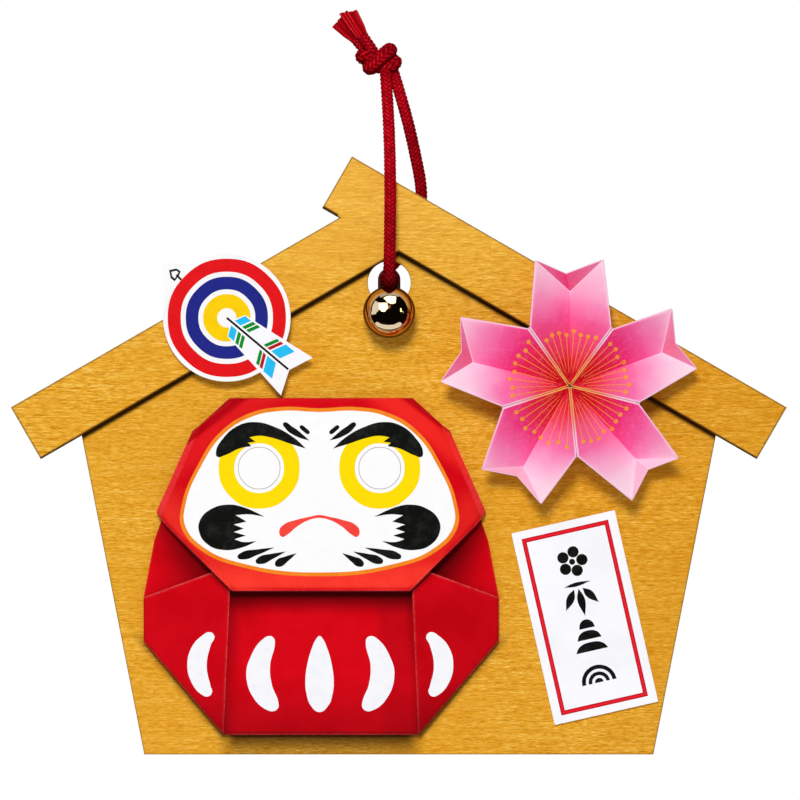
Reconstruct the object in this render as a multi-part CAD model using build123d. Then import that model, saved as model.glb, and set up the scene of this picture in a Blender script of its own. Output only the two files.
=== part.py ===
from build123d import *
import math
import os

# Hanging votive plaque with a gabled roof, a bell on its cord and folded paper ornaments.
# Millimetres. X runs to the right, Y into the wall and Z up, so the front faces -Y.
# The origin is where a nail sits in the cord's loop, level with the back of the board.

# Board
BOARD_THICK = 4.0
BOARD_BASE_WIDTH = 127.4
BOARD_BASE_DROP = 159.2
BOARD_SIDE_LEAN = 11.1
BOARD_TOP_INSET = 5.0
BOARD_EDGE_ROUND = 0.6

# Roof, one plate with two arms; the right arm runs past the ridge
ROOF_THICK = 3.0
ROOF_SPAN = 193.8
ROOF_PITCH = 30.0
ROOF_ARM_WIDTH = 14.9
ROOF_RIDGE_DROP = 16.4
ROOF_FINIAL_LENGTH = 13.5
ROOF_EDGE_ROUND = 0.8

# Hole for the cord, under the roof's inner corner and a little left of the middle
HOLE_RADIUS = 5.4
HOLE_X = -2.4
HOLE_BELOW_ROOF = 7.5
HOLE_EDGE_ROUND = 0.4

# Braided cord
CORD_DIAMETER = 3.0
CORD_SEAT_GAP = 0.35
CORD_EYE_SAG = 2.95
CORD_FRONT_BEND = 3.5
CORD_REAR_BEND = 3.2
CORD_RIM_LEAD = 1.2
CORD_BACK_STAND = 2.4
CORD_ARC_SHARE = 0.45
KNOT_BIGHT_RADIUS = 1.86
TAIL_END_RADIUS = 2.2

# Bell
BELL_RADIUS = 6.5
BELL_WALL = 0.4
BELL_BOARD_GAP = 0.4
BELL_CORD_GAP = 0.1
BELL_LIP_HEIGHT = 0.8
BELL_LIP_ROOT = 1.6
BELL_LIP_THICK = 0.2
BELL_LIP_GAP = 0.03
BELL_SLOT_WIDTH = 1.2
BELL_SLOT_HALF_ANGLE = 38.0
BELL_SLOT_END_RADIUS = 0.9
EYE_WIRE = 1.2
EYE_CORD_GAP = 0.1
EYE_LEG_GAP = 0.05
EYE_FOOT_OUT = 1.1
EYE_FOOT_GAP = 0.1
EYE_FOOT_BEND = 0.9
PEA_RADIUS = 1.9
PEA_GAP = 0.1

# Paper and card
PAPER = 0.25
CARD = 0.5
FOLDED_PAPER = 0.3
PAD_GAP = 0.4

# Flower of five petals, folded by hand and so a little uneven; each row starts with the petal at the top
FLOWER_X = 42.6
FLOWER_DROP = 67.0
FLOWER_SEAM_ANGLES = (54.0, 125.5, 197.6, 275.3, 346.0)
FLOWER_PETAL_ANGLES = (90.4, 163.0, 239.7, 312.4, 382.5)
FLOWER_TIP_SPREADS = (15.1, 15.1, 16.5, 14.0, 14.7)
FLOWER_TIP_RADII = (32.5, 32.2, 30.2, 32.4, 31.8)
FLOWER_SEAM_RADIUS = 17.8
FLOWER_NOTCH_SHARE = 0.88
FLOWER_VALLEY_SHARE = 0.765
FLOWER_CENTRE_HEIGHT = 2.0
FLOWER_VALLEY_HEIGHT = 1.0
FLOWER_SEAM_HEIGHT = 8.5
FLOWER_TIP_HEIGHT = 6.3
FLOWER_NOTCH_HEIGHT = 3.6
FLOWER_FLAP_START = 1.5
FLOWER_PAD_RADIUS = 7.0
FLOWER_PAD_ROOF_GAP = 0.8

# Target with its arrow, one die-cut card
TARGET_X = -42.9
TARGET_DROP = 50.0
TARGET_RADIUS = 15.9
TARGET_PAD_THICK = 0.8
TARGET_PAD_LENGTH = 22.0
TARGET_PAD_WIDTH = 9.0
TARGET_TAB_LEFT = 15.7
TARGET_TAB_RIGHT = 4.7
TARGET_TAB_LOW = 3.2
TARGET_TAB_HIGH = 13.5
TARGET_TAB_ROUND = 1.0
ARROW_ANGLE = -40.0
ARROW_NOCK = 20.3
ARROW_VANE_FRONT = 3.2
ARROW_VANE_END = 22.8
ARROW_VANE_HALF_WIDTH = 6.15
ARROW_VANE_HALF_FRONT = 3.4

# Round doll folded from one sheet
DOLL_X = -19.4
DOLL_PAD_THICK = 1.0
DOLL_PAD_WIDTH = 52.0
DOLL_PAD_HEIGHT = 44.0
DOLL_TOP_DROP = 70.0
HEAD_TOP_WIDTH = 43.0
HEAD_BEVEL_WIDTH = 64.4
HEAD_BEVEL_DEPTH = 8.2
HEAD_WIDTH = 82.2
HEAD_WIDEST_DEPTH = 28.3
HEAD_STEP_WIDTH = 77.8
HEAD_STEP_DEPTH = 31.5
HEAD_BOTTOM_WIDTH = 44.2
HEAD_HEIGHT = 48.1
HEAD_TOP_LIFT = 1.3
HEAD_BOTTOM_LIFT = 4.0
BACK_TOP_WIDTH = 45.8
BACK_MARGIN = 0.3
BODY_HEIGHT = 83.9
BODY_WAIST_WIDTH = 83.4
BODY_WAIST_DEPTH = 35.5
BODY_WIDTH = 88.8
BODY_WIDEST_DEPTH = 60.5
BODY_BASE_WIDTH = 48.6
BELLY_LIFT = 1.1
BELLY_TOP_DEPTH = 36.0
WING_TOP_DEPTH = 49.8
WING_PEAK_DEPTH = 43.5
WING_PEAK_WIDTH = 54.6
WING_INNER_DEPTH = 48.0
WING_INNER_WIDTH = 45.6
WING_OUTER_LIFT = 0.9
WING_INNER_LIFT = 2.4

# Paper talisman
TALISMAN_X = 46.5
TALISMAN_DROP = 124.9
TALISMAN_WIDTH = 26.5
TALISMAN_HEIGHT = 49.1
TALISMAN_TURN = 12.8
TALISMAN_ROUND = 0.3
TALISMAN_TAPE = 0.25
TALISMAN_TAPE_MARGIN = 4.0

# A round solid that starts at its plane instead of being centred on it
UPRIGHT = (Align.CENTER, Align.CENTER, Align.MIN)

# Places worked out from the sizes above
cord_radius = CORD_DIAMETER / 2
board_base_z = -BOARD_BASE_DROP
roof_slope = math.tan(math.radians(ROOF_PITCH))
roof_arm_height = ROOF_ARM_WIDTH / math.cos(math.radians(ROOF_PITCH))
roof_corner_z = -ROOF_RIDGE_DROP - roof_arm_height
hole_z = roof_corner_z - HOLE_BELOW_ROOF
seat_z = hole_z + HOLE_RADIUS - cord_radius - CORD_SEAT_GAP
eye_z = seat_z - CORD_EYE_SAG
bell_y = -(BOARD_THICK + BELL_BOARD_GAP + BELL_RADIUS)
bell_z = eye_z - cord_radius - BELL_CORD_GAP - BELL_RADIUS
roof_front = BOARD_THICK + ROOF_THICK
flower_base = roof_front + PAD_GAP
target_base = roof_front + TARGET_PAD_THICK
doll_base = BOARD_THICK + DOLL_PAD_THICK


def front_plane(depth):
    """A plane facing the viewer, depth in front of the board's back."""
    return Plane.XZ.offset(depth)


def plate(outline, back, thick):
    """A flat outline in X and Z, standing thick in front of the depth back."""
    return extrude(front_plane(back) * outline, amount=thick)


def outline_of(points):
    """A filled outline through points given as X and Z."""
    return make_face(Polyline(*points, close=True))


def sheet(points, thick):
    """A flat facet of a folded sheet through points in space, thick towards the wall."""
    facet = Face(Wire.make_polygon([Vector(*p) for p in points], close=True))
    return extrude(facet, amount=thick, dir=(0, 1, 0))


def fused(pieces):
    """One solid made of pieces that meet or overlap."""
    whole = pieces[0]
    for piece in pieces[1:]:
        whole = whole + piece
    return whole


def mirrored_outline(half):
    """Both sides of an outline given as half width and Z from the top down."""
    right = [(half_width, z) for half_width, z in half]
    left = [(-half_width, z) for half_width, z in reversed(half)]
    return right + left


def rounded_front(solid, depth, radius):
    """Rounds the edges that lie in the plane facing the viewer at that depth."""
    edges = solid.edges().filter_by_position(Axis.Y, -depth, -depth)
    return fillet(edges, radius)


def make_board():
    inset_drop = BOARD_TOP_INSET / math.cos(math.radians(ROOF_PITCH))
    top_z = -ROOF_RIDGE_DROP - inset_drop
    lean = math.tan(math.radians(BOARD_SIDE_LEAN))
    base_half = BOARD_BASE_WIDTH / 2
    shoulder_half = (base_half + lean * (top_z - board_base_z)) / (1 + lean * roof_slope)
    shoulder_z = top_z - roof_slope * shoulder_half
    half = [(shoulder_half, shoulder_z), (base_half, board_base_z)]
    outline = outline_of([(0, top_z)] + mirrored_outline(half))
    board = rounded_front(plate(outline, 0, BOARD_THICK), BOARD_THICK, BOARD_EDGE_ROUND)
    drill = plate(Pos(HOLE_X, hole_z) * Circle(HOLE_RADIUS), 0, BOARD_THICK)
    board = board - drill
    rims = board.edges().filter_by(GeomType.CIRCLE).filter_by(
        lambda edge: math.isclose(edge.radius, HOLE_RADIUS)
    )
    return fillet(rims, HOLE_EDGE_ROUND)


def roof_arm(right_length, left_length, turn):
    """One arm as a bar whose top edge passes through the ridge point."""
    bar = Pos((right_length - left_length) / 2, -ROOF_ARM_WIDTH / 2) * Rectangle(
        right_length + left_length, ROOF_ARM_WIDTH
    )
    return Pos(0, -ROOF_RIDGE_DROP) * (Rot(0, 0, turn) * bar)


def make_roof():
    arm_length = ROOF_SPAN / 2 / math.cos(math.radians(ROOF_PITCH))
    right = roof_arm(arm_length, ROOF_FINIAL_LENGTH, -ROOF_PITCH)
    left = roof_arm(0, arm_length, ROOF_PITCH)
    outline = (right + left).clean()
    roof = plate(outline, BOARD_THICK, ROOF_THICK)
    return rounded_front(roof, roof_front, ROOF_EDGE_ROUND)


# The cord's route from the knot down the front, through the bell's eye and the hole, and up behind
cord_route = [
    (-3.4, -4.6, 12.6),
    (-2.4, -6.8, -1.4),
    (-2.1, -10.2, -16.6),
    (-2.2, -14.0, -30.6),
    (HOLE_X, bell_y - CORD_FRONT_BEND, eye_z),
    (HOLE_X, bell_y + CORD_REAR_BEND, eye_z),
    (HOLE_X, -BOARD_THICK - CORD_RIM_LEAD, seat_z),
    (HOLE_X, CORD_BACK_STAND, seat_z),
    (4.2, 2.6, -30.2),
    (6.2, 1.9, -19.4),
    (3.9, 0.2, -7.6),
    (1.5, -1.5, 2.4),
    (-1.6, -2.8, 12.4),
]

# The bights of the knot that show, each from one end to the other, and the two frayed ends
knot_bights = [
    ((-7.2, -6.2, 12.9), (-2.8, -6.4, 16.6)),
    ((-9.0, -4.0, 15.6), (-5.6, -4.0, 15.0)),
    ((-5.0, -4.2, 12.8), (-1.2, -4.2, 14.0)),
    ((-7.0, -2.0, 13.4), (-2.6, -2.0, 16.2)),
]
upper_tail = ((-6.6, -5.0, 17.6), (-12.0, -5.4, 25.3))
lower_tail = ((-9.0, -3.0, 16.9), (-15.3, -2.6, 23.2))


def bend_radii(points):
    """As large an arc at each corner of the route as its two runs leave room for."""
    radii = []
    for before, corner, after in zip(points, points[1:], points[2:]):
        run_in = Vector(*corner) - Vector(*before)
        run_out = Vector(*after) - Vector(*corner)
        half_turn = math.radians(run_in.get_angle(run_out)) / 2
        shorter = min(run_in.length, run_out.length)
        radii.append(CORD_ARC_SHARE * shorter / math.tan(half_turn))
    return radii


def make_cord():
    radii = bend_radii(cord_route)
    path = FilletPolyline(*cord_route, radius=radii)
    start = Plane(path @ 0, z_dir=path % 0)
    cord = sweep(start * Circle(cord_radius), path=path)
    section = math.pi * cord_radius**2
    ratio = cord.volume / (section * path.length)
    print("cord radii", [round(r, 1) for r in radii])
    print("cord length", round(path.length, 1), "volume ratio", round(ratio, 4))
    return cord


def round_bar(start, end, radius):
    """A round-ended bar, one visible bight of the knot."""
    run = Vector(*end) - Vector(*start)
    bar = Plane(start, z_dir=run) * Cylinder(radius, run.length, align=UPRIGHT)
    return bar + Pos(*start) * Sphere(radius) + Pos(*end) * Sphere(radius)


def make_knot():
    return fused([round_bar(start, end, KNOT_BIGHT_RADIUS) for start, end in knot_bights])


def make_tail(start, end):
    """One frayed end of the cord, a cone that opens towards its tip."""
    run = Vector(*end) - Vector(*start)
    cone = Cone(cord_radius, TAIL_END_RADIUS, run.length, align=UPRIGHT)
    return Plane(start, z_dir=run) * cone


def bell_place(solid):
    """Moves a bell piece from the middle of the bell to where the bell hangs."""
    return Pos(HOLE_X, bell_y, bell_z) * solid


def ball_shell():
    return Sphere(BELL_RADIUS) - Sphere(BELL_RADIUS - BELL_WALL)


def half_space(side):
    """A block over the upper (1) or lower (-1) half of the bell."""
    size = 4 * BELL_RADIUS
    return Pos(0, 0, side * size / 2) * Box(size, size, size)


eye_bend_radius = cord_radius + EYE_CORD_GAP + EYE_WIRE / 2
eye_rise = BELL_RADIUS + BELL_CORD_GAP + cord_radius
eye_foot_end = eye_bend_radius + EYE_FOOT_OUT


def foot_height(reach):
    """How high the middle of the eye's wire lies, that far out, under the upper shell."""
    seat_radius = BELL_RADIUS - BELL_WALL - EYE_FOOT_GAP - EYE_WIRE / 2
    return math.sqrt(seat_radius**2 - reach**2)


def make_bell_upper():
    shell = ball_shell() & half_space(1)
    leg_hole = EYE_WIRE / 2 + EYE_LEG_GAP
    for side in (-1, 1):
        shell = shell - Pos(side * eye_bend_radius, 0, 0) * Cylinder(leg_hole, BELL_RADIUS, align=UPRIGHT)
    return bell_place(shell)


def make_bell_lower():
    shell = ball_shell() & half_space(-1)
    reach = BELL_RADIUS * math.sin(math.radians(BELL_SLOT_HALF_ANGLE))
    bottom = Pos(0, 0, -BELL_RADIUS)
    shell = shell - bottom * Box(2 * reach, BELL_SLOT_WIDTH, BELL_RADIUS)
    for side in (-1, 1):
        shell = shell - bottom * Pos(side * reach, 0, 0) * Cylinder(BELL_SLOT_END_RADIUS, BELL_RADIUS)
    lip_outer = math.sqrt((BELL_RADIUS - BELL_WALL) ** 2 - BELL_LIP_HEIGHT**2) - BELL_LIP_GAP
    lip_height = BELL_LIP_HEIGHT + BELL_LIP_ROOT
    lip = Cylinder(lip_outer, lip_height) - Cylinder(lip_outer - BELL_LIP_THICK, lip_height)
    lip = Pos(0, 0, BELL_LIP_HEIGHT - lip_height / 2) * lip
    lip = lip & Sphere(BELL_RADIUS - BELL_WALL / 2)
    return bell_place(shell + lip)


def make_bell_eye():
    foot = FilletPolyline(
        (-eye_foot_end, 0, foot_height(eye_foot_end)),
        (-eye_bend_radius, 0, foot_height(eye_bend_radius)),
        (-eye_bend_radius, 0, eye_rise),
        radius=[EYE_FOOT_BEND],
    )
    crown = ThreePointArc(
        (-eye_bend_radius, 0, eye_rise),
        (0, 0, eye_rise + eye_bend_radius),
        (eye_bend_radius, 0, eye_rise),
    )
    other_foot = mirror(foot, about=Plane.YZ)
    path = Wire(foot.edges() + crown.edges() + other_foot.edges())
    start = Plane(path @ 0, z_dir=path % 0)
    return bell_place(sweep(start * Circle(EYE_WIRE / 2), path=path))


def make_pea():
    drop = BELL_RADIUS - BELL_WALL - PEA_GAP - PEA_RADIUS
    return bell_place(Pos(0, 0, -drop) * Sphere(PEA_RADIUS))


def flower_point(radius, angle, height):
    """A point in the flower, height above its underside."""
    turn = math.radians(angle)
    return (
        FLOWER_X + radius * math.cos(turn),
        -flower_base - height,
        -FLOWER_DROP + radius * math.sin(turn),
    )


def seam_flap(angle, inward):
    """The strip of a petal that is folded down along a seam, on one side of it."""
    profile = [
        flower_point(FLOWER_FLAP_START, angle, 0),
        flower_point(FLOWER_SEAM_RADIUS, angle, 0),
        flower_point(FLOWER_SEAM_RADIUS, angle, FLOWER_SEAM_HEIGHT - PAPER),
        flower_point(FLOWER_FLAP_START, angle, FLOWER_CENTRE_HEIGHT),
    ]
    turn = math.radians(angle + 90 * inward)
    wall = Face(Wire.make_polygon([Vector(*p) for p in profile], close=True))
    return extrude(wall, amount=PAPER, dir=(math.cos(turn), 0, math.sin(turn)))


def make_petal(first_seam, last_seam, middle, tip_spread, tip_radius):
    """One folded sheet: a trough with a notched end and a flap along each seam."""
    centre = flower_point(0, middle, FLOWER_CENTRE_HEIGHT)
    valley = flower_point(FLOWER_VALLEY_SHARE * tip_radius, middle, FLOWER_VALLEY_HEIGHT)
    notch = flower_point(FLOWER_NOTCH_SHARE * tip_radius, middle, FLOWER_NOTCH_HEIGHT)
    facets = []
    for seam_angle, side in ((first_seam, -1), (last_seam, 1)):
        seam = flower_point(FLOWER_SEAM_RADIUS, seam_angle, FLOWER_SEAM_HEIGHT)
        tip = flower_point(tip_radius, middle + side * tip_spread, FLOWER_TIP_HEIGHT)
        facets.append(sheet([centre, seam, valley], PAPER))
        facets.append(sheet([seam, tip, valley], PAPER))
        facets.append(sheet([valley, tip, notch], PAPER))
        facets.append(seam_flap(seam_angle, -side))
    return fused(facets)


def make_flower_pad():
    from_roof = (FLOWER_PAD_RADIUS + FLOWER_PAD_ROOF_GAP) / math.cos(math.radians(ROOF_PITCH))
    pad_z = roof_corner_z - roof_slope * FLOWER_X - from_roof
    disc = Pos(FLOWER_X, pad_z) * Circle(FLOWER_PAD_RADIUS)
    return plate(disc, BOARD_THICK, flower_base - BOARD_THICK)


def make_target_card():
    disc = Circle(TARGET_RADIUS)
    tab_width = TARGET_TAB_LEFT - TARGET_TAB_RIGHT
    tab_height = TARGET_TAB_HIGH - TARGET_TAB_LOW
    tab = Pos(-TARGET_TAB_LEFT, TARGET_TAB_LOW) * RectangleRounded(
        tab_width, tab_height, TARGET_TAB_ROUND, align=(Align.MIN, Align.MIN)
    )
    vanes = outline_of(
        [
            (ARROW_VANE_FRONT, ARROW_VANE_HALF_FRONT),
            (ARROW_VANE_END, ARROW_VANE_HALF_WIDTH),
            (ARROW_NOCK, 0),
            (ARROW_VANE_END, -ARROW_VANE_HALF_WIDTH),
            (ARROW_VANE_FRONT, -ARROW_VANE_HALF_FRONT),
        ]
    )
    outline = disc + tab + Rot(0, 0, ARROW_ANGLE) * vanes
    return plate(Pos(TARGET_X, -TARGET_DROP) * outline, target_base, CARD)


def make_target_pad():
    strip = Rot(0, 0, ROOF_PITCH) * Rectangle(TARGET_PAD_LENGTH, TARGET_PAD_WIDTH)
    arm_z = roof_corner_z + roof_arm_height / 2 + roof_slope * TARGET_X
    return plate(Pos(TARGET_X, arm_z) * strip, roof_front, TARGET_PAD_THICK)


def doll_point(half_width, depth, lift):
    """A point on the doll, depth below its top edge and lift in front of its back."""
    return (DOLL_X + half_width, -doll_base - lift, -DOLL_TOP_DROP - depth)


def doll_flat(half, lift):
    """A flat layer of the doll, from half widths and depths, at that lift."""
    points = [(DOLL_X + x, -DOLL_TOP_DROP - depth) for x, depth in mirrored_outline(half)]
    return plate(outline_of(points), doll_base + lift, FOLDED_PAPER)


def head_lift(depth):
    """The head leans forward from its top fold to its free lower edge."""
    return HEAD_TOP_LIFT + (HEAD_BOTTOM_LIFT - HEAD_TOP_LIFT) * depth / HEAD_HEIGHT


def wing_lift(half_width):
    """A wing rises from its outer fold to its inner edge, which stands over the belly."""
    share = (BODY_WIDTH - 2 * abs(half_width)) / (BODY_WIDTH - WING_INNER_WIDTH)
    return WING_OUTER_LIFT + (WING_INNER_LIFT - WING_OUTER_LIFT) * share


def make_head():
    half = [
        (HEAD_TOP_WIDTH / 2, 0),
        (HEAD_BEVEL_WIDTH / 2, HEAD_BEVEL_DEPTH),
        (HEAD_WIDTH / 2, HEAD_WIDEST_DEPTH),
        (HEAD_STEP_WIDTH / 2, HEAD_STEP_DEPTH),
        (HEAD_BOTTOM_WIDTH / 2, HEAD_HEIGHT),
    ]
    points = [doll_point(x, depth, head_lift(depth) + FOLDED_PAPER) for x, depth in mirrored_outline(half)]
    return sheet(points, FOLDED_PAPER)


def make_wing(side):
    outline = [
        (BODY_WIDTH / 2, BODY_WIDEST_DEPTH),
        (BODY_BASE_WIDTH / 2, BODY_HEIGHT),
        (WING_INNER_WIDTH / 2, WING_INNER_DEPTH),
        (WING_PEAK_WIDTH / 2, WING_PEAK_DEPTH),
        (BODY_WIDTH / 2, WING_TOP_DEPTH),
    ]
    points = [doll_point(side * x, depth, wing_lift(x) + FOLDED_PAPER) for x, depth in outline]
    fold_height = BODY_WIDEST_DEPTH - WING_TOP_DEPTH
    fold_x = DOLL_X + side * (BODY_WIDTH - FOLDED_PAPER) / 2
    fold_z = -DOLL_TOP_DROP - WING_TOP_DEPTH - fold_height / 2
    fold = Pos(fold_x, fold_z) * Rectangle(FOLDED_PAPER, fold_height)
    return sheet(points, FOLDED_PAPER) + plate(fold, doll_base, WING_OUTER_LIFT + FOLDED_PAPER)


def doll_fold(width, depth, lift):
    """A level fold that joins a front layer to the back one."""
    strip = Pos(DOLL_X, -DOLL_TOP_DROP - depth) * Rectangle(width, FOLDED_PAPER)
    return plate(strip, doll_base, lift + FOLDED_PAPER)


def make_doll():
    back = doll_flat(
        [
            (BACK_TOP_WIDTH / 2, 0),
            (HEAD_BEVEL_WIDTH / 2 - BACK_MARGIN, HEAD_BEVEL_DEPTH),
            (BODY_WAIST_WIDTH / 2, BODY_WAIST_DEPTH),
            (BODY_WIDTH / 2, WING_TOP_DEPTH),
            (BODY_WIDTH / 2, BODY_WIDEST_DEPTH),
            (BODY_BASE_WIDTH / 2, BODY_HEIGHT),
        ],
        0,
    )
    belly_half = BODY_BASE_WIDTH / 2
    belly = doll_flat([(belly_half, BELLY_TOP_DEPTH), (belly_half, BODY_HEIGHT)], BELLY_LIFT)
    top_fold = doll_fold(HEAD_TOP_WIDTH, FOLDED_PAPER / 2, HEAD_TOP_LIFT)
    base_fold = doll_fold(BODY_BASE_WIDTH, BODY_HEIGHT - FOLDED_PAPER / 2, BELLY_LIFT)
    return fused([back, belly, base_fold, make_wing(-1), make_wing(1), top_fold, make_head()])


def make_doll_pad():
    middle = Pos(DOLL_X, -DOLL_TOP_DROP - BODY_HEIGHT / 2)
    return plate(middle * Rectangle(DOLL_PAD_WIDTH, DOLL_PAD_HEIGHT), BOARD_THICK, DOLL_PAD_THICK)


def talisman_place(outline):
    return Pos(TALISMAN_X, -TALISMAN_DROP) * (Rot(0, 0, TALISMAN_TURN) * outline)


def make_talisman():
    card = RectangleRounded(TALISMAN_WIDTH, TALISMAN_HEIGHT, TALISMAN_ROUND)
    return plate(talisman_place(card), BOARD_THICK + TALISMAN_TAPE, CARD)


def make_talisman_tape():
    tape_width = TALISMAN_WIDTH - 2 * TALISMAN_TAPE_MARGIN
    tape_height = TALISMAN_HEIGHT - 2 * TALISMAN_TAPE_MARGIN
    tape = Rectangle(tape_width, tape_height)
    return plate(talisman_place(tape), BOARD_THICK, TALISMAN_TAPE)


nodes = {
    "board": make_board(),
    "roof": make_roof(),
    "cord_loop": make_cord(),
    "cord_knot": make_knot(),
    "cord_tail_upper": make_tail(*upper_tail),
    "cord_tail_lower": make_tail(*lower_tail),
    "bell_upper_shell": make_bell_upper(),
    "bell_lower_shell": make_bell_lower(),
    "bell_eye": make_bell_eye(),
    "bell_pea": make_pea(),
    "flower_pad": make_flower_pad(),
    "target_card": make_target_card(),
    "target_pad": make_target_pad(),
    "doll_sheet": make_doll(),
    "doll_pad": make_doll_pad(),
    "talisman_card": make_talisman(),
    "talisman_tape": make_talisman_tape(),
}
next_seams = FLOWER_SEAM_ANGLES[1:] + (FLOWER_SEAM_ANGLES[0] + 360,)
petals = zip(FLOWER_SEAM_ANGLES, next_seams, FLOWER_PETAL_ANGLES, FLOWER_TIP_SPREADS, FLOWER_TIP_RADII)
for number, sizes in enumerate(petals, start=1):
    nodes[f"petal_{number}"] = make_petal(*sizes)

os.makedirs("parts", exist_ok=True)
for name, shape in nodes.items():
    export_step(shape, f"parts/{name}.step")
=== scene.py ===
import math
import random

import bmesh
import bpy
from mathutils import Matrix, Vector
from mathutils.bvhtree import BVHTree
from mathutils.kdtree import KDTree


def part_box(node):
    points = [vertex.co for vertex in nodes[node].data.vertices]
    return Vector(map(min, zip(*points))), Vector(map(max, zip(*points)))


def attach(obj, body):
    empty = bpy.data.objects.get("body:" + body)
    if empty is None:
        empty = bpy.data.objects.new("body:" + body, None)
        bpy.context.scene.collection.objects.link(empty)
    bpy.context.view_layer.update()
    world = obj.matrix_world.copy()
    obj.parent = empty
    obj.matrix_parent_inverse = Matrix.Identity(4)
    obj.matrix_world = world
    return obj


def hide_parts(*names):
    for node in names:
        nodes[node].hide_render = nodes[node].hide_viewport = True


# The looks of a hanging votive plaque: gilt board, braided cord, bell and folded papers.
# Sizes are in millimetres, in the part's own frame, and MM turns them into Blender's metres.

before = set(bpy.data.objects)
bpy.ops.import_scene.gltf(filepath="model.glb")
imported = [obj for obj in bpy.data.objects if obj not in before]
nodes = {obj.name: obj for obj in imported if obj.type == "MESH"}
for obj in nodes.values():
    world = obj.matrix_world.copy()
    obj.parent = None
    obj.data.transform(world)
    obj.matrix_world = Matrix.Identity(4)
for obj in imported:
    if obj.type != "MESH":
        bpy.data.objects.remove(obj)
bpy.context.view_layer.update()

MM = 0.001

# Places taken from the frame
doll_low, doll_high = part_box("doll_sheet")
board_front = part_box("board")[0].y / MM
roof_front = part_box("roof")[0].y / MM
pad_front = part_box("flower_pad")[0].y / MM
doll_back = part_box("doll_pad")[0].y / MM
doll_middle = (doll_low.x + doll_high.x) / 2 / MM
doll_top = doll_high.z / MM
doll_base = doll_low.z / MM
bell_low, bell_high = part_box("bell_lower_shell")
bell_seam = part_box("bell_upper_shell")[0].z
bell_centre = Vector(((bell_low.x + bell_high.x) / 2, (bell_low.y + bell_high.y) / 2, bell_seam))

# Camera, floor and light
VIEW_CENTRE = (0.3, -70.5)
VIEW_WIDTH = 200.0
VIEW_DISTANCE = 1500.0
VIEW_PLANE = -5.0
VIEW_END = 50000.0
SENSOR = 36.0
FLOOR_HEIGHT = -200.0
FLOOR_RADIUS = 430.0
FLOOR_SIDES = 96
KEY_PLACE = (-80.0, -1000.0, 360.0)
KEY_SIZE = 280.0
KEY_POWER = 8.6
BACK_PLACE = (120.0, 1000.0, 300.0)
BACK_SIZE = 600.0
BACK_POWER = 5.5
AMBIENT = 0.21


def srgb(red, green, blue):
    """A colour as the eye reads it, 0 to 255, as the linear values that a shader takes."""
    linear = []
    for level in (red, green, blue):
        share = level / 255
        linear.append(share / 12.92 if share <= 0.04045 else ((share + 0.055) / 1.055) ** 2.4)
    return (*linear, 1.0)


class Signal:
    """A value or colour that a finish's nodes work out, joined to others by plain arithmetic."""

    def __init__(self, finish, socket):
        self.finish = finish
        self.socket = socket

    def __add__(self, other):
        return self.finish.math("ADD", self, other)

    def __sub__(self, other):
        return self.finish.math("SUBTRACT", self, other)

    def __rsub__(self, other):
        return self.finish.math("SUBTRACT", other, self)

    def __mul__(self, other):
        return self.finish.math("MULTIPLY", self, other)

    def __abs__(self):
        return self.finish.math("ABSOLUTE", self)

    def level(self, low, high, start=0.0, end=1.0):
        """The value between low and high, smoothly rescaled to between start and end."""
        inputs = {0: self, 1: low, 2: high, 3: start, 4: end}
        return self.finish.add("MapRange", inputs, interpolation_type="SMOOTHSTEP")


def largest(first, *others):
    """The largest of several signals."""
    for other in others:
        first = first.finish.math("MAXIMUM", first, other)
    return first


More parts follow.
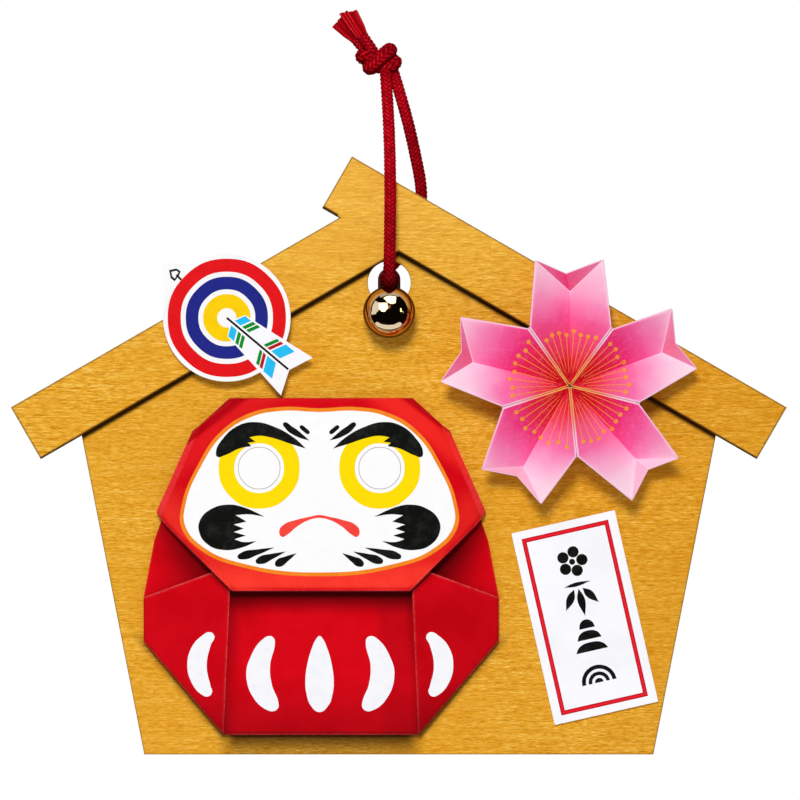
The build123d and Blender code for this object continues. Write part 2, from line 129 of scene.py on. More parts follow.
class Finish:
    """A material built node by node around one principled shader."""

    def __init__(self, name, colour, roughness, gloss=0.01, **sockets):
        self.material = bpy.data.materials.new(name)
        self.material.use_nodes = True
        self.nodes = self.material.node_tree.nodes
        self.links = self.material.node_tree.links
        self.shader = self.nodes["Principled BSDF"]
        self.colour = colour
        self.shade("Base Color", colour)
        self.shade("Roughness", roughness)
        self.shade("Specular IOR Level", gloss)
        for socket, value in sockets.items():
            self.shade(socket, value)

    def feed(self, socket, value):
        """Links a signal to a socket, or writes a plain value on it."""
        if isinstance(value, Signal):
            self.links.new(value.socket, socket)
        else:
            socket.default_value = value

    def shade(self, socket, value):
        self.feed(self.shader.inputs[socket], value)

    def node(self, kind, inputs, **settings):
        node = self.nodes.new("ShaderNode" + kind)
        for name, value in settings.items():
            setattr(node, name, value)
        for socket, value in inputs.items():
            self.feed(node.inputs[socket], value)
        return node

    def add(self, kind, inputs, output=0, **settings):
        """The signal that a new node gives."""
        return Signal(self, self.node(kind, inputs, **settings).outputs[output])

    def parts(self, vector):
        """The three parts of a vector."""
        return [Signal(self, output) for output in self.node("SeparateXYZ", {0: vector}).outputs]

    def length(self, vector):
        return self.add("VectorMath", {0: vector}, "Value", operation="LENGTH")

    def place(self, size=1.0, centre=(0, 0, 0)):
        """Object coordinates from a centre, in units of size millimetres, one size or one for each axis."""
        sizes = size if isinstance(size, tuple) else (size,) * 3
        spot = self.add("TexCoord", {}, "Object")
        moved = self.add("VectorMath", {0: spot, 1: Vector(centre) * MM}, operation="SUBTRACT")
        scale = [1 / (step * MM) for step in sizes]
        return self.add("Mapping", {"Vector": moved, "Scale": scale})

    def noise(self, size, detail, roughness):
        """Soft random cloud with lumps of about size millimetres."""
        inputs = {"Vector": self.place(size), "Scale": 1.0, "Detail": detail, "Roughness": roughness}
        return self.add("TexNoise", inputs)

    def attribute(self, name):
        return self.add("Attribute", {}, "Fac", attribute_name=name)

    def uv(self, name):
        """The two coordinates of a UV map."""
        return self.parts(self.add("UVMap", {}, uv_map=name))[:2]

    def ramp(self, factor, *stops):
        """Colours that follow a factor, each stop a place and its eye colour."""
        node = self.node("ValToRGB", {"Fac": factor})
        elements = node.color_ramp.elements
        first, *middle, last = [(place, srgb(*colour)) for place, colour in stops]
        elements[0].position, elements[0].color = first
        elements[1].position, elements[1].color = last
        for position, colour in middle:
            elements.new(position).color = colour
        return Signal(self, node.outputs[0])

    def math(self, operation, first, second=0.0):
        return self.add("Math", {0: first, 1: second}, operation=operation)

    def mix(self, factor, first, second, blend="MIX"):
        inputs = {0: factor, 6: first, 7: second}
        return self.add("Mix", inputs, 2, data_type="RGBA", blend_type=blend)

    def tint(self, amount, colour, blend="MIX"):
        """Mixes an amount of a further colour into the finish's own."""
        self.colour = self.mix(amount, self.colour, colour, blend)
        self.shade("Base Color", self.colour)

    def bump(self, height, depth):
        """Raises the surface by up to depth millimetres."""
        inputs = {"Height": height, "Strength": 1.0, "Distance": depth * MM}
        self.shade("Normal", self.add("Bump", inputs))


def dimmer(colour, share):
    return [level * share for level in colour[:3]] + [1.0]


# The roof's lower edge, where the painted shade on the board's gold is darkest
ROOF_SLOPE = math.tan(math.radians(30.0))
ROOF_FOOT_DROP = 33.6
FOOT_DEPTH = -3.9
# Painted shade: the board is dark just below that edge, and the roof on its own rounded edge
BOARD_FOOT_SPAN = (0.3, 1.9)
BOARD_FOOT_SHADE = (0.95, 0.0)
ROOF_FOOT_SPAN = (-0.9, -0.1)
ROOF_FOOT_SHADE = (0.0, 0.92)
# Painted shade under the doll's base, and the direction out of the doll's slanted lower corners
DOLL_BASE_SHADE = 0.97
DOLL_CORNER_NORMAL = (0.759, 0.651)
# Painted shade: the gold is this much darker towards the right
GILT_PAINTED_SHADE_RIGHT = (0.93, 0.88, 0.77, 1.0)


# Finishes

def gilt_finish(name, front_face, foot_span, foot_shade, doll_shade):
    """Gold paper with fine level dashes, with painted shade on its rounded edges, by the roof's foot, under
    the doll and towards the right, and painted light towards the top.
    """
    finish = Finish(name, srgb(229, 164, 44), 0.5)
    hairs = finish.noise((2.0, 2.0, 0.22), 4.0, 0.7)
    streaks = finish.noise((9.0, 9.0, 0.5), 3.0, 0.6)
    clouds = finish.noise((38.0, 38.0, 22.0), 2.0, 0.5)
    pores = finish.noise((1.6, 1.6, 0.22), 3.0, 0.65).level(0.52, 0.62, 0.0, 0.55)
    brushed = hairs * 0.7 + streaks * 0.3
    finish.colour = finish.ramp(
        brushed,
        (0.36, (188, 118, 10)), (0.46, (225, 159, 37)), (0.54, (240, 180, 58)), (0.64, (255, 220, 118)),
    )
    finish.tint(pores, srgb(190, 122, 16))
    finish.tint(clouds.level(0.35, 0.65, 0.0, 0.3), srgb(222, 152, 30))
    right, back, up = finish.parts(finish.place())
    # Painted shade towards the right and painted light towards the top
    finish.tint(right.level(-10.0, 90.0), GILT_PAINTED_SHADE_RIGHT, "MULTIPLY")
    finish.tint(up.level(-60.0, -20.0, 0.0, 0.3), srgb(252, 200, 90))

    # The contact shade along the roof's foot, and on the short end that runs past the ridge
    foot = (abs(right) * -ROOF_SLOPE - up - ROOF_FOOT_DROP).level(*foot_span, *foot_shade)
    past_ridge = right * -ROOF_SLOPE - (up + ROOF_FOOT_DROP)
    end = past_ridge.level(-1.1, -0.5) * past_ridge.level(0.05, 0.2, 1.0, 0.0)
    end = end * right.level(-15.4, -14.9, 1.0, 0.0)

    # The contact shade under the doll's base and along its slanted lower corners
    from_middle = abs(right - doll_middle)
    below_doll = doll_base - up
    base = below_doll.level(-0.5, 8.0, doll_shade, 0.15 * doll_shade)
    base = base * from_middle.level(21.0, 27.0, 1.0, 0.0) * below_doll.level(-6.0, -2.0)
    beside = (from_middle - BACK_SIDE[-1][0]) * DOLL_CORNER_NORMAL[0] + below_doll * DOLL_CORNER_NORMAL[1]
    corner = beside.level(-0.2, 2.6, 0.75 * doll_shade, 0.0) * beside.level(-1.5, -0.5)
    corner = corner * below_doll.level(-26.0, -21.0) * from_middle.level(22.5, 25.0)

    front = back.level(FOOT_DEPTH, FOOT_DEPTH + 0.4, 1.0, 0.0)
    shade = largest(largest(foot, base, corner) * front, end * foot_shade[1])
    # Painted shade on the rounded edges and sides, just behind the front face
    behind = back - front_face
    rim = behind.level(0.05, 0.3, 0.0, 0.6) * behind.level(0.5, 1.0, 1.0, 0.0)
    finish.tint(rim, srgb(112, 66, 8))
    finish.tint(shade, srgb(46, 17, 2))
    finish.shade("Roughness", brushed.level(0.3, 0.7, 0.56, 0.4))
    finish.bump(brushed, 0.04)
    return finish.material


def cord_finish():
    """Dyed yarn, with painted shade in the gaps of the braid, on its flanks, rear strand, knot, lower run and
    in the bell's eye, and a painted highlight on top of its stitches.
    """
    finish = Finish("red_yarn", srgb(186, 10, 24), 0.5, gloss=0.0)
    fibre = finish.noise(0.3, 2.0, 0.6)
    clumps = finish.noise(1.5, 2.0, 0.5)
    # Painted shade in the braid's gaps and painted highlight on its stitches, by each point's share of the
    # radius
    finish.colour = finish.ramp(
        finish.attribute("bulge").level(0.76, 1.06),
        (0.0, (116, 2, 10)), (0.4, (158, 4, 16)), (0.75, (204, 9, 27)), (1.0, (236, 36, 52)),
    )
    shade = clumps.level(0.4, 0.62, 0.0, 0.4) + fibre.level(0.3, 0.7, 0.0, 0.2)
    finish.tint(shade, srgb(120, 2, 10))
    from_eye = finish.length(finish.place(centre=EYE_MIDDLE))
    # Painted shade on the cord's flanks and underside
    turned = finish.attribute("flank_shade").level(0.35, 1.5, 0.0, 0.75)
    finish.tint(turned, srgb(84, 0, 6))
    back, up = finish.parts(finish.place())[1:]
    # Painted shade on the rear strand, on the knot and along the run near the bell
    rear_strand_shade = back.level(-3.6, -1.2, 0.0, 0.46)
    knot = up.level(5.0, 12.0, 0.0, 0.26)
    near_bell_shade = up.level(-30.0, -8.0, 0.34, 0.0)
    finish.tint(largest(rear_strand_shade, knot, near_bell_shade), srgb(70, 0, 4))
    # Painted shade where the cord runs into the bell's eye
    finish.tint(from_eye.level(2.4, 7.5, 0.75, 0.0), srgb(58, 2, 6))
    finish.bump(fibre, 0.02)
    return finish.material


def fibre_finish():
    """Loose dyed fibres, each with a shade of its own."""
    finish = Finish("red_fibres", srgb(190, 10, 24), 0.45, gloss=0.0)
    wisps = finish.noise(0.6, 2.0, 0.5)
    finish.colour = finish.ramp(
        finish.attribute("tone"),
        (0.0, (96, 1, 7)), (0.45, (180, 5, 19)), (0.8, (216, 14, 30)), (1.0, (246, 66, 72)),
    )
    finish.tint(wisps.level(0.4, 0.7, 0.0, 0.3), srgb(150, 3, 13))
    return finish.material


def brass_finish(name, colour, roughness):
    """Polished brass with faint handling marks."""
    finish = Finish(name, colour, roughness, Metallic=1.0)
    marks = finish.noise(2.4, 5.0, 0.6)
    finish.shade("Roughness", marks.level(0.4, 0.75, roughness, roughness + 0.07))
    finish.tint(marks.level(0.5, 0.8, 0.0, 0.25), dimmer(colour, 0.8))
    return finish.material


def steel_finish():
    finish = Finish("pea_steel", srgb(176, 178, 182), 0.25, Metallic=1.0)
    marks = finish.noise(0.6, 4.0, 0.6)
    finish.shade("Roughness", marks.level(0.35, 0.7, 0.2, 0.45))
    finish.bump(marks, 0.01)
    return finish.material


def doll_finish():
    """Red folding paper, pale where a fold is worn, with painted shade in the nooks under the head and beside
    the wings.
    """
    finish = Finish("doll_paper", srgb(207, 4, 21), 0.5)
    fibre = finish.noise(0.35, 3.0, 0.6)
    cloud = finish.noise(9.0, 3.0, 0.55)
    wear = finish.noise(0.9, 4.0, 0.65)
    finish.colour = finish.mix(cloud.level(0.35, 0.65), srgb(206, 3, 17), srgb(216, 6, 22))
    warm = finish.attribute("warm") * cloud.level(0.3, 0.7, 0.75, 1.0)
    finish.tint(warm, srgb(252, 60, 46))
    across, up = finish.parts(finish.place(centre=(doll_middle, 0, doll_top)))[::2]
    half_width = abs(across)
    depth = up * -1.0

    def past_edge(corner, normal):
        """How far a spot lies past one of the doll's edges, along the edge's normal."""
        return (half_width - corner[0]) * normal[0] + (depth - corner[1]) * normal[1]

    def sided(left, right):
        """One value on the doll's left half and another on its right half."""
        return across.level(-1.0, 1.0, left, right)

    lowest = depth - HEAD_HEIGHT
    beside = past_edge(HEAD_SIDE[-1], HEAD_CORNER_NORMAL)
    under = largest(lowest, beside)
    below_head = under.level(-0.1, 0.0)

    # Pale strips down the head's sides, dark bevels on its shoulders and the lit paper next to those
    from_side = past_edge(HEAD_SIDE[1], HEAD_SIDE_NORMAL)
    strip = from_side.level(1.3, 1.8, 0.75, 0.0) * wear.level(0.3, 0.7, 0.4, 1.0)
    finish.tint(strip * (1.0 - below_head), srgb(238, 64, 70))
    past_bevel = past_edge(HEAD_SIDE[0], HEAD_TOP_NORMAL) - sided(1.9, 0.5)
    lit = past_bevel.level(0.0, 1.0) * past_bevel.level(3.0, 7.5, 1.0, 0.0) * sided(0.22, 0.58)
    finish.tint(lit, srgb(255, 50, 40))
    finish.tint(past_bevel.level(-0.12, 0.12, 0.8, 0.0), srgb(176, 0, 10))
    fold = finish.attribute("fold") * wear.level(0.36, 0.6, 0.25, 1.0)
    finish.tint(fold, srgb(240, 132, 128))

    # Painted shade in the nook close under the head, and in the hollow between its slanted corners and the
    # wings
    nook = under.level(0.0, 2.6, 0.6, 0.0) * below_head
    above_wing = (half_width - WING_SIDE[3][0]) * WING_TOP_SLOPE + WING_SIDE[3][1] - depth
    reach = depth * HOLLOW_WIDENS + HOLLOW_START
    hollow = beside.level(0.8, reach, 1.0, 0.0) * depth.level(33.0, 41.0, 0.7, 0.92) * sided(0.8, 1.0)
    hollow = hollow * above_wing.level(-0.2, 0.2) * below_head

    # Painted shade: the belly is dark under the head and beside the wings, and the wings a little below the
    # head
    wing = depth.level(WING_SIDE[2][1], WING_SIDE[1][1], WING_SIDE[2][0], WING_SIDE[1][0])
    inside = wing - half_width
    on_belly = inside.level(-0.05, 0.1)
    right_gap = sided(0.0, 1.0) * inside.level(7.0, 10.5, 0.24, 0.0)
    gap = largest(right_gap, inside.level(0.2, 4.2, 0.45, 0.0)) * depth.level(52.0, 84.0, 1.0, 0.4)
    gap = largest(gap, inside.level(3.0, 9.0, 0.3, 0.0) * lowest.level(2.0, 11.0, 1.0, 0.0))
    top = lowest.level(0.6, 7.0, 0.93, 0.0)
    belly = (gap + top - gap * top) * on_belly * lowest.level(-0.1, 0.0)
    wings = (1.0 - on_belly) * sided(0.1, 0.22) * lowest.level(-6.0, 4.0) * below_head
    # All the painted shade together, with more towards the doll's base
    dark = largest(nook, hollow, belly, wings) + depth.level(68.0, 84.0, 0.0, 0.35)
    finish.tint(dark, srgb(70, 0, 4))
    finish.shade("Roughness", cloud.level(0.3, 0.7, 0.42, 0.56))
    finish.bump(fibre, 0.015)
    return finish.material


def petal_finish():
    """Paper tinted from a red heart through pink to pale tips, pale along its folds, with painted light and
    shade on each half.
    """
    finish = Finish("petal_paper", srgb(240, 110, 165), 0.6)
    place = finish.place(32.0, (FLOWER_X, 0, FLOWER_Z))
    reach = finish.length(finish.add("VectorMath", {0: place, 1: (1, 0, 1)}, operation="MULTIPLY"))
    grain = finish.noise(0.9, 4.0, 0.65)
    cloud = finish.noise(7.0, 2.0, 0.5)
    out = reach + (cloud - 0.5) * 0.16
    # A shaded copy and a lit copy of the tint, mixed on each half as painted light and shade
    deep = finish.ramp(
        out,
        (0.05, (196, 6, 20)), (0.20, (214, 16, 36)), (0.35, (230, 34, 82)), (0.50, (240, 52, 126)),
        (0.65, (246, 92, 157)), (0.80, (249, 142, 189)), (0.97, (254, 190, 216)),
    )
    light = finish.ramp(
        out,
        (0.05, (204, 10, 26)), (0.20, (232, 46, 74)), (0.35, (242, 90, 138)), (0.50, (246, 114, 172)),
        (0.65, (249, 170, 208)), (0.80, (252, 212, 231)), (0.97, (254, 226, 238)),
    )
    half_painted_light, end_tone = finish.uv("tone")
    finish.colour = finish.mix(half_painted_light, deep, light)
    along, across = finish.uv("fold")
    wall = finish.math("GREATER_THAN", across, 1.0)
    deep_end = finish.ramp(along, (0.0, (230, 56, 114)), (0.6, (230, 98, 148)))
    finish.tint(wall, finish.mix(end_tone, deep_end, srgb(252, 202, 224)))
    crest = abs(across + CREST_MIDDLE).level(0.018, 0.026, 1.0, 0.0)
    turned = abs(across - 1.0).level(0.004, 0.016, 0.8, 0.0)
    outer = along.level(0.965, 0.99, 0.0, 0.9)
    rim = (along + across).level(1.955, 1.99, 0.0, 0.9)
    fold_colour = finish.ramp(reach, (0.10, (252, 176, 92)), (0.26, (250, 166, 130)), (0.42, (252, 206, 226)))
    finish.tint(largest(crest, turned, outer, rim), fold_colour)
    finish.tint(grain.level(0.45, 0.8, 0.0, 0.09), srgb(255, 224, 238))
    finish.bump(finish.noise(0.4, 3.0, 0.6), 0.02)
    return finish.material


def card_finish(name, colour):
    """Smooth white card with a faint tooth."""
    finish = Finish(name, colour, 0.5)
    tooth = finish.noise(0.5, 3.0, 0.6)
    cloud = finish.noise(12.0, 2.0, 0.5)
    finish.tint(cloud.level(0.35, 0.7), dimmer(colour, 0.95))
    finish.bump(tooth, 0.006)
    return finish.material


def ink_finish(name, colour, thin_colour=None):
    """Printing ink, a little uneven as it soaks into paper."""
    full = srgb(*colour)
    thin = srgb(*thin_colour) if thin_colour else dimmer(full, 0.93)
    finish = Finish("ink_" + name, full, 0.5)
    soak = finish.noise(2.6, 4.0, 0.65)
    finish.tint(soak.level(0.42, 0.72), thin)
    finish.shade("Roughness", soak.level(0.3, 0.7, 0.44, 0.58))
    finish.bump(finish.noise(0.35, 2.0, 0.6), 0.006)
    return finish.material


def foam_finish():
    """White sticky foam with fine cells."""
    finish = Finish("pad_foam", srgb(238, 236, 228), 0.85)
    cells = finish.add("TexVoronoi", {"Vector": finish.place(0.35), "Scale": 1.0})
    finish.colour = srgb(214, 211, 200)
    finish.tint(cells.level(0.1, 0.6), srgb(243, 241, 235))
    finish.bump(cells, 0.08)
    return finish.material


def tape_finish():
    finish = Finish("sticky_tape", srgb(226, 216, 184), 0.35)
    cloud = finish.noise(3.0, 3.0, 0.6)
    finish.colour = srgb(214, 202, 166)
    finish.tint(cloud, srgb(236, 228, 202))
    finish.bump(cloud, 0.01)
    return finish.material


# Pieces and how they are put together

def mesh_of(shape, name):
    """Ends a bmesh in millimetres and returns it as a mesh in metres."""
    bmesh.ops.scale(shape, vec=(MM, MM, MM), verts=shape.verts)
    mesh = bpy.data.meshes.new(name)
    shape.to_mesh(mesh)
    shape.free()
    return mesh


def show(name, data):
    """A new object in the scene."""
    thing = bpy.data.objects.new(name, data)
    bpy.context.scene.collection.objects.link(thing)
    return thing


def piece(name, mesh, finish, body, smooth=False):
    """A shown object that moves with a body."""
    mesh.name = name
    mesh.materials.clear()
    mesh.materials.append(finish)
    if smooth:
        mesh.shade_smooth()
    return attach(show(name, mesh), body)


def paint(node, finish):
    """Gives a CAD piece its finish."""
    mesh = nodes[node].data
    mesh.materials.clear()
    mesh.materials.append(finish)


def mesh_from(curve):
    """Turns a curve into a mesh and removes the curve."""
    holder = bpy.data.objects.new(curve.name, curve)
    mesh = bpy.data.meshes.new_from_object(holder)
    bpy.data.objects.remove(holder)
    bpy.data.curves.remove(curve)
    return mesh


def thicken(thing, thickness):
    """Gives a sheet its thickness, behind the face that shows."""
    layer = thing.modifiers.new("thickness", "SOLIDIFY")
    layer.thickness = thickness * MM
    layer.offset = -1.0


def grid_cut(shape, step):
    """Cuts a flat shape in X and Z into squares, so that it can bend."""
    for axis in (0, 2):
        along = Vector((0, 0, 0))
        along[axis] = 1.0
        low = min(vert.co[axis] for vert in shape.verts)
        high = max(vert.co[axis] for vert in shape.verts)
        for count in range(1, math.ceil((high - low) / step)):
            geometry = shape.verts[:] + shape.edges[:] + shape.faces[:]
            place = along * (low + count * step)
            bmesh.ops.bisect_plane(shape, geom=geometry, plane_co=place, plane_no=along)


def face_viewer(shape):
    """Turns a sheet so that its faces look at the viewer."""
    bmesh.ops.recalc_face_normals(shape, faces=shape.faces)
    if sum(face.normal.y * face.calc_area() for face in shape.faces) > 0:
        bmesh.ops.reverse_faces(shape, faces=shape.faces)


# The cord

# The cord's route from the knot down the front, through the bell's eye and the hole, and up behind
cord_route = [
    (-3.4, -4.6, 12.6),
    (-2.4, -6.8, -1.4),
    (-2.1, -10.2, -16.6),
    (-2.2, -14.0, -30.6),
    (-2.4, -14.4, -40.5),
    (-2.4, -7.7, -40.5),
    (-2.4, -5.2, -37.55),
    (-2.4, 2.8, -37.55),
    (4.2, 2.9, -30.2),
    (6.2, 2.0, -19.4),
    (3.9, 0.2, -7.6),
    (1.5, -1.5, 2.4),
    (-1.6, -2.8, 12.4),
]
EYE_MIDDLE = (-2.4, -11.0, -40.8)
CORD_DIAMETER = 3.0

# The knot's turns, each over or under the others, and the two ends that stand out of it
knot_turns = [
    [(-5.4, -1.8, 13.4), (-7.3, -2.2, 12.7), (-7.3, -5.6, 12.6), (-5.2, -7.0, 14.3), (-3.0, -6.9, 16.5),
     (-1.9, -4.6, 17.2), (-2.6, -2.0, 16.4)],
    [(-5.2, -4.4, 12.9), (-3.0, -5.0, 12.9), (-1.2, -4.6, 13.6), (-0.9, -3.2, 14.2), (-2.0, -1.8, 14.4),
     (-4.0, -1.6, 14.0)],
    [(-5.6, -3.6, 15.2), (-7.4, -4.6, 15.6), (-9.0, -4.2, 15.7), (-9.2, -2.6, 15.4), (-7.8, -1.6, 14.8),
     (-5.8, -1.6, 14.4)],
    [(-7.6, -1.9, 13.4), (-6.2, -1.6, 14.2), (-4.4, -1.6, 15.4), (-2.8, -1.9, 16.3)],
    [(-7.0, -3.8, 14.6), (-4.6, -3.4, 14.8), (-2.4, -3.4, 15.0)],
]
KNOT_DIAMETER = 3.7

# Each end's braided stretch, and the two corners of the ragged cut where its loose fibres stop
tail_lines = {
    "cord_tail_upper": [(-5.6, -4.8, 15.2), (-7.1, -5.0, 17.6), (-8.3, -5.1, 19.3), (-9.3, -5.2, 20.8)],
    "cord_tail_lower": [(-7.0, -3.4, 15.4), (-8.6, -3.1, 17.4), (-10.0, -2.9, 19.0), (-11.0, -2.9, 20.2)],
}
tail_cuts = {
    "cord_tail_upper": [(-15.4, -5.4, 26.6), (-10.7, -5.2, 27.6)],
    "cord_tail_lower": [(-17.4, -2.8, 23.2), (-13.0, -2.8, 27.1)],
}
TAIL_DIAMETER = 2.9
TAIL_FIBRES = 340
TAIL_FIBRE_RADIUS = 0.11
TAIL_FIBRE_SIZES = (0.7, 1.2)
TAIL_DEPTH = 1.2
TAIL_LOCKS = 5
TAIL_LOCK_SHORT = 0.10
TAIL_FIBRE_SHORT = 0.05
# The fibres start at this point of the braid, counted from its end, and within this share of its diameter
TAIL_ROOT_POINT = -8
TAIL_ROOT_SHARE = 0.42
# Each fibre bows aside by up to this much, at this share of its length
TAIL_BOW = 0.2
TAIL_BOW_PLACE = 0.4

# Steps of a smooth line for each stretch of its route
CORD_FINENESS = 44
KNOT_FINENESS = 16
TAIL_FINENESS = 18

# The braid's strands each way round and the length of one turn
BRAID_STRANDS = 8
BRAID_PITCH = 8.4
# A strand's radius and its rise over the others, as shares of the cord's radius
STRAND_SHARE = 0.26
WEAVE_SHARE = 0.1
# Where in a crossing the weave starts
WEAVE_START = 0.5
# The core is this share of a strand thinner than the ring of strands round it
CORE_SINK = 0.2
# How much wider the cord is in the bell's eye, and how far from the eye's middle it is wider
EYE_SWELL = 0.82
EYE_SWELL_REACH = 3.4


def smooth_line(points, fineness):
    """Points on the smooth curve that a route's points control."""
    curve = bpy.data.curves.new("route", "CURVE")
    curve.dimensions = "3D"
    curve.resolution_u = fineness
    spline = curve.splines.new("NURBS")
    spline.points.add(len(points) - 1)
    for point, place in zip(spline.points, points):
        point.co = (*place, 1.0)
    spline.order_u = 3
    spline.use_endpoint_u = True
    mesh = mesh_from(curve)
    line = [vert.co.copy() for vert in mesh.vertices]
    bpy.data.meshes.remove(mesh)
    return line


def travelling_sides(line):
    """For each point of a line: its distance from the start and two directions square to the line."""
    side = (line[1] - line[0]).orthogonal().normalized()
    travelled = 0.0
    sides = []
    for count, point in enumerate(line):
        before, after = line[max(count - 1, 0)], line[min(count + 1, len(line) - 1)]
        along = (after - before).normalized()
        side = (side - along * side.dot(along)).normalized()
        travelled += (point - before).length
        sides.append((travelled, side, along.cross(side)))
    return sides


def add_strand(curve, points, radius=1.0):
    spline = curve.splines.new("POLY")
    spline.points.add(len(points) - 1)
    for point, place in zip(spline.points, points):
        point.co = (*place, 1.0)
        point.radius = radius


def yarn_curve(name, radius, roundness):
    curve = bpy.data.curves.new(name, "CURVE")
    curve.dimensions = "3D"
    curve.bevel_depth = radius
    curve.bevel_resolution = roundness
    curve.use_fill_caps = True
    return curve


def nearest_points(points):
    """A search tree that finds the nearest of some points."""
    tree = KDTree(len(points))
    for number, point in enumerate(points):
        tree.insert(point, number)
    tree.balance()
    return tree


def braid_mesh(curve, lines, diameter):
    """A braid's mesh in metres, each point marked with its share of the radius and its turn aside and
    downwards, from which the finish paints shade and highlight.
    """
    mesh = mesh_from(curve)
    core = nearest_points([point for line in lines for point in line])
    bulge = mesh.attributes.new("bulge", "FLOAT", "POINT")
    flank_shade = mesh.attributes.new("flank_shade", "FLOAT", "POINT")
    for vert in mesh.vertices:
        middle, away = core.find(vert.co)[::2]
        out = (vert.co - middle).normalized()
        bulge.data[vert.index].value = away / (diameter / 2)
        flank_shade.data[vert.index].value = 1 - abs(out.y) + max(0.0, -out.z)
    mesh.transform(Matrix.Scale(MM, 4))
    return mesh


def swelling(point):
    """How much the cord spreads where it is pressed into the bell's eye."""
    away = (point - Vector(EYE_MIDDLE)).length / EYE_SWELL_REACH
    return 1 + EYE_SWELL * max(0.0, 1 - away**2)


def braid(curve, line, diameter):
    """Strands that wind both ways round a core, each over two and under two."""
    strand = curve.bevel_depth
    lift = WEAVE_SHARE * diameter / 2
    radius = diameter / 2 - strand - lift / 2
    sides = travelling_sides(line)
    for turn in (1, -1):
        for number in range(BRAID_STRANDS):
            points = []
            for point, (travelled, side, other) in zip(line, sides):
                turns = travelled / BRAID_PITCH
                angle = 2 * math.pi * (turn * turns + number / BRAID_STRANDS)
                crossing = 2 * BRAID_STRANDS * turns
                weave = math.pi / 2 * (turn * crossing + 2 * number + WEAVE_START)
                rise = turn * lift * math.sin(weave)
                out = side * math.cos(angle) + other * math.sin(angle)
                points.append(point + out * (radius + rise) * swelling(point))
            add_strand(curve, points)
    add_strand(curve, line, (radius - strand * CORE_SINK) / strand)


def braided(name, lines, diameter, node, finish):
    """Braids along some lines, as one piece in the place of a CAD node."""
    curve = yarn_curve(name, STRAND_SHARE * diameter / 2, 1)
    for line in lines:
        braid(curve, line, diameter)
    cord = piece(name, braid_mesh(curve, lines, diameter), finish, "hanging_cord", smooth=True)
    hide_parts(node)
    return cord


def make_cord(finish):
    line = smooth_line(cord_route, CORD_FINENESS)
    cord = braided("cord_braid", [line], CORD_DIAMETER, "cord_loop", finish)
    return cord, [point * MM for point in line]


def make_knot(finish):
    lines = [smooth_line(turn, KNOT_FINENESS) for turn in knot_turns]
    return braided("knot_braid", lines, KNOT_DIAMETER, "cord_knot", finish)


def make_tuft(node, root, along, finish, chance):
    """Loose fibres that flare from a braid's end to its ragged cut."""
    first, last = (Vector(corner) for corner in tail_cuts[node])
    deep = Vector((0, 1, 0))
    across = along.cross(deep).normalized()
    if across.dot(last - first) < 0:
        across = -across
    short = [chance.uniform(0, TAIL_LOCK_SHORT) for lock in range(TAIL_LOCKS)]
    fibres = yarn_curve(node + "_fibres", TAIL_FIBRE_RADIUS, 0)
    places = []
    tones = []
    for count in range(TAIL_FIBRES):
        turn = chance.uniform(0, 2 * math.pi)
        share = math.sqrt(chance.random())
        aside, depth = share * math.cos(turn), share * math.sin(turn)
        lock = min(int((aside + 1) / 2 * TAIL_LOCKS), TAIL_LOCKS - 1)
        start = root + (across * aside + deep * depth) * TAIL_DIAMETER * TAIL_ROOT_SHARE
        end = first.lerp(last, (aside + 1) / 2) + deep * depth * TAIL_DEPTH
        end = start.lerp(end, 1 - short[lock] - chance.uniform(0, TAIL_FIBRE_SHORT))
        sideways = (end - start).cross(deep).normalized()
        bow = start.lerp(end, TAIL_BOW_PLACE) - sideways * aside * TAIL_BOW
        add_strand(fibres, [start, bow, end], chance.uniform(*TAIL_FIBRE_SIZES))
        places += [start, bow, end]
        tones += [chance.random()] * 3
    mesh = mesh_from(fibres)
    fibre_at = nearest_points(places)
    tone = mesh.attributes.new("tone", "FLOAT", "POINT")
    for vert in mesh.vertices:
        tone.data[vert.index].value = tones[fibre_at.find(vert.co)[1]]
    mesh.transform(Matrix.Scale(MM, 4))
    tuft = piece(node + "_fibres", mesh, finish, "hanging_cord", smooth=True)
    return tuft


def make_tail(node, finish, fibre_paint, seed):
    """A cut end: braid at first, then loose fibres that flare to a ragged tip."""
    line = smooth_line(tail_lines[node], TAIL_FINENESS)
    tail = braided(node + "_braid", [line], TAIL_DIAMETER, node, finish)
    along = (line[-1] - line[-2]).normalized()
    return [tail, make_tuft(node, line[TAIL_ROOT_POINT], along, fibre_paint, random.Random(seed))]


# The folded doll

# One side of each layer's outline, as half width and depth below the doll's top
HEAD_SIDE = [(21.5, 0.0), (32.2, 8.2), (41.1, 28.3), (38.9, 31.5), (22.1, 48.1)]
BACK_SIDE = [(22.9, 0.0), (31.9, 8.2), (41.7, 35.5), (44.4, 49.8), (44.4, 60.5), (24.3, 83.9)]
BELLY_SIDE = [(24.3, 36.0), (24.3, 83.9)]
WING_SIDE = [(44.4, 60.5), (24.3, 83.9), (22.8, 48.0), (27.3, 43.5), (44.4, 49.8)]
HEAD_HEIGHT = HEAD_SIDE[-1][1]
# Directions square to the head's edges: out of its lower corners, and into it from its shoulders and sides
HEAD_CORNER_NORMAL = (0.703, 0.712)
HEAD_TOP_NORMAL = (-0.608, 0.794)
HEAD_SIDE_NORMAL = (-0.914, 0.405)
WING_TOP_SLOPE = 0.368
# How far the painted shade of the hollow reaches from the head's lower corner: a share of the depth, and what
# is added to it
HOLLOW_WIDENS = 0.6
HOLLOW_START = -14.7
HEAD_LIFTS = (1.6, 4.3)
WING_LIFTS = (1.2, 2.7)
BELLY_FRONT = 1.4
BACK_FRONT = 0.3
DOLL_PAPER = 0.3
DOLL_RIM = (0.12, 0.22, 0.4, 0.55, 0.75)
DOLL_GRID = 2.6
DOLL_SHARP_ANGLE = 30

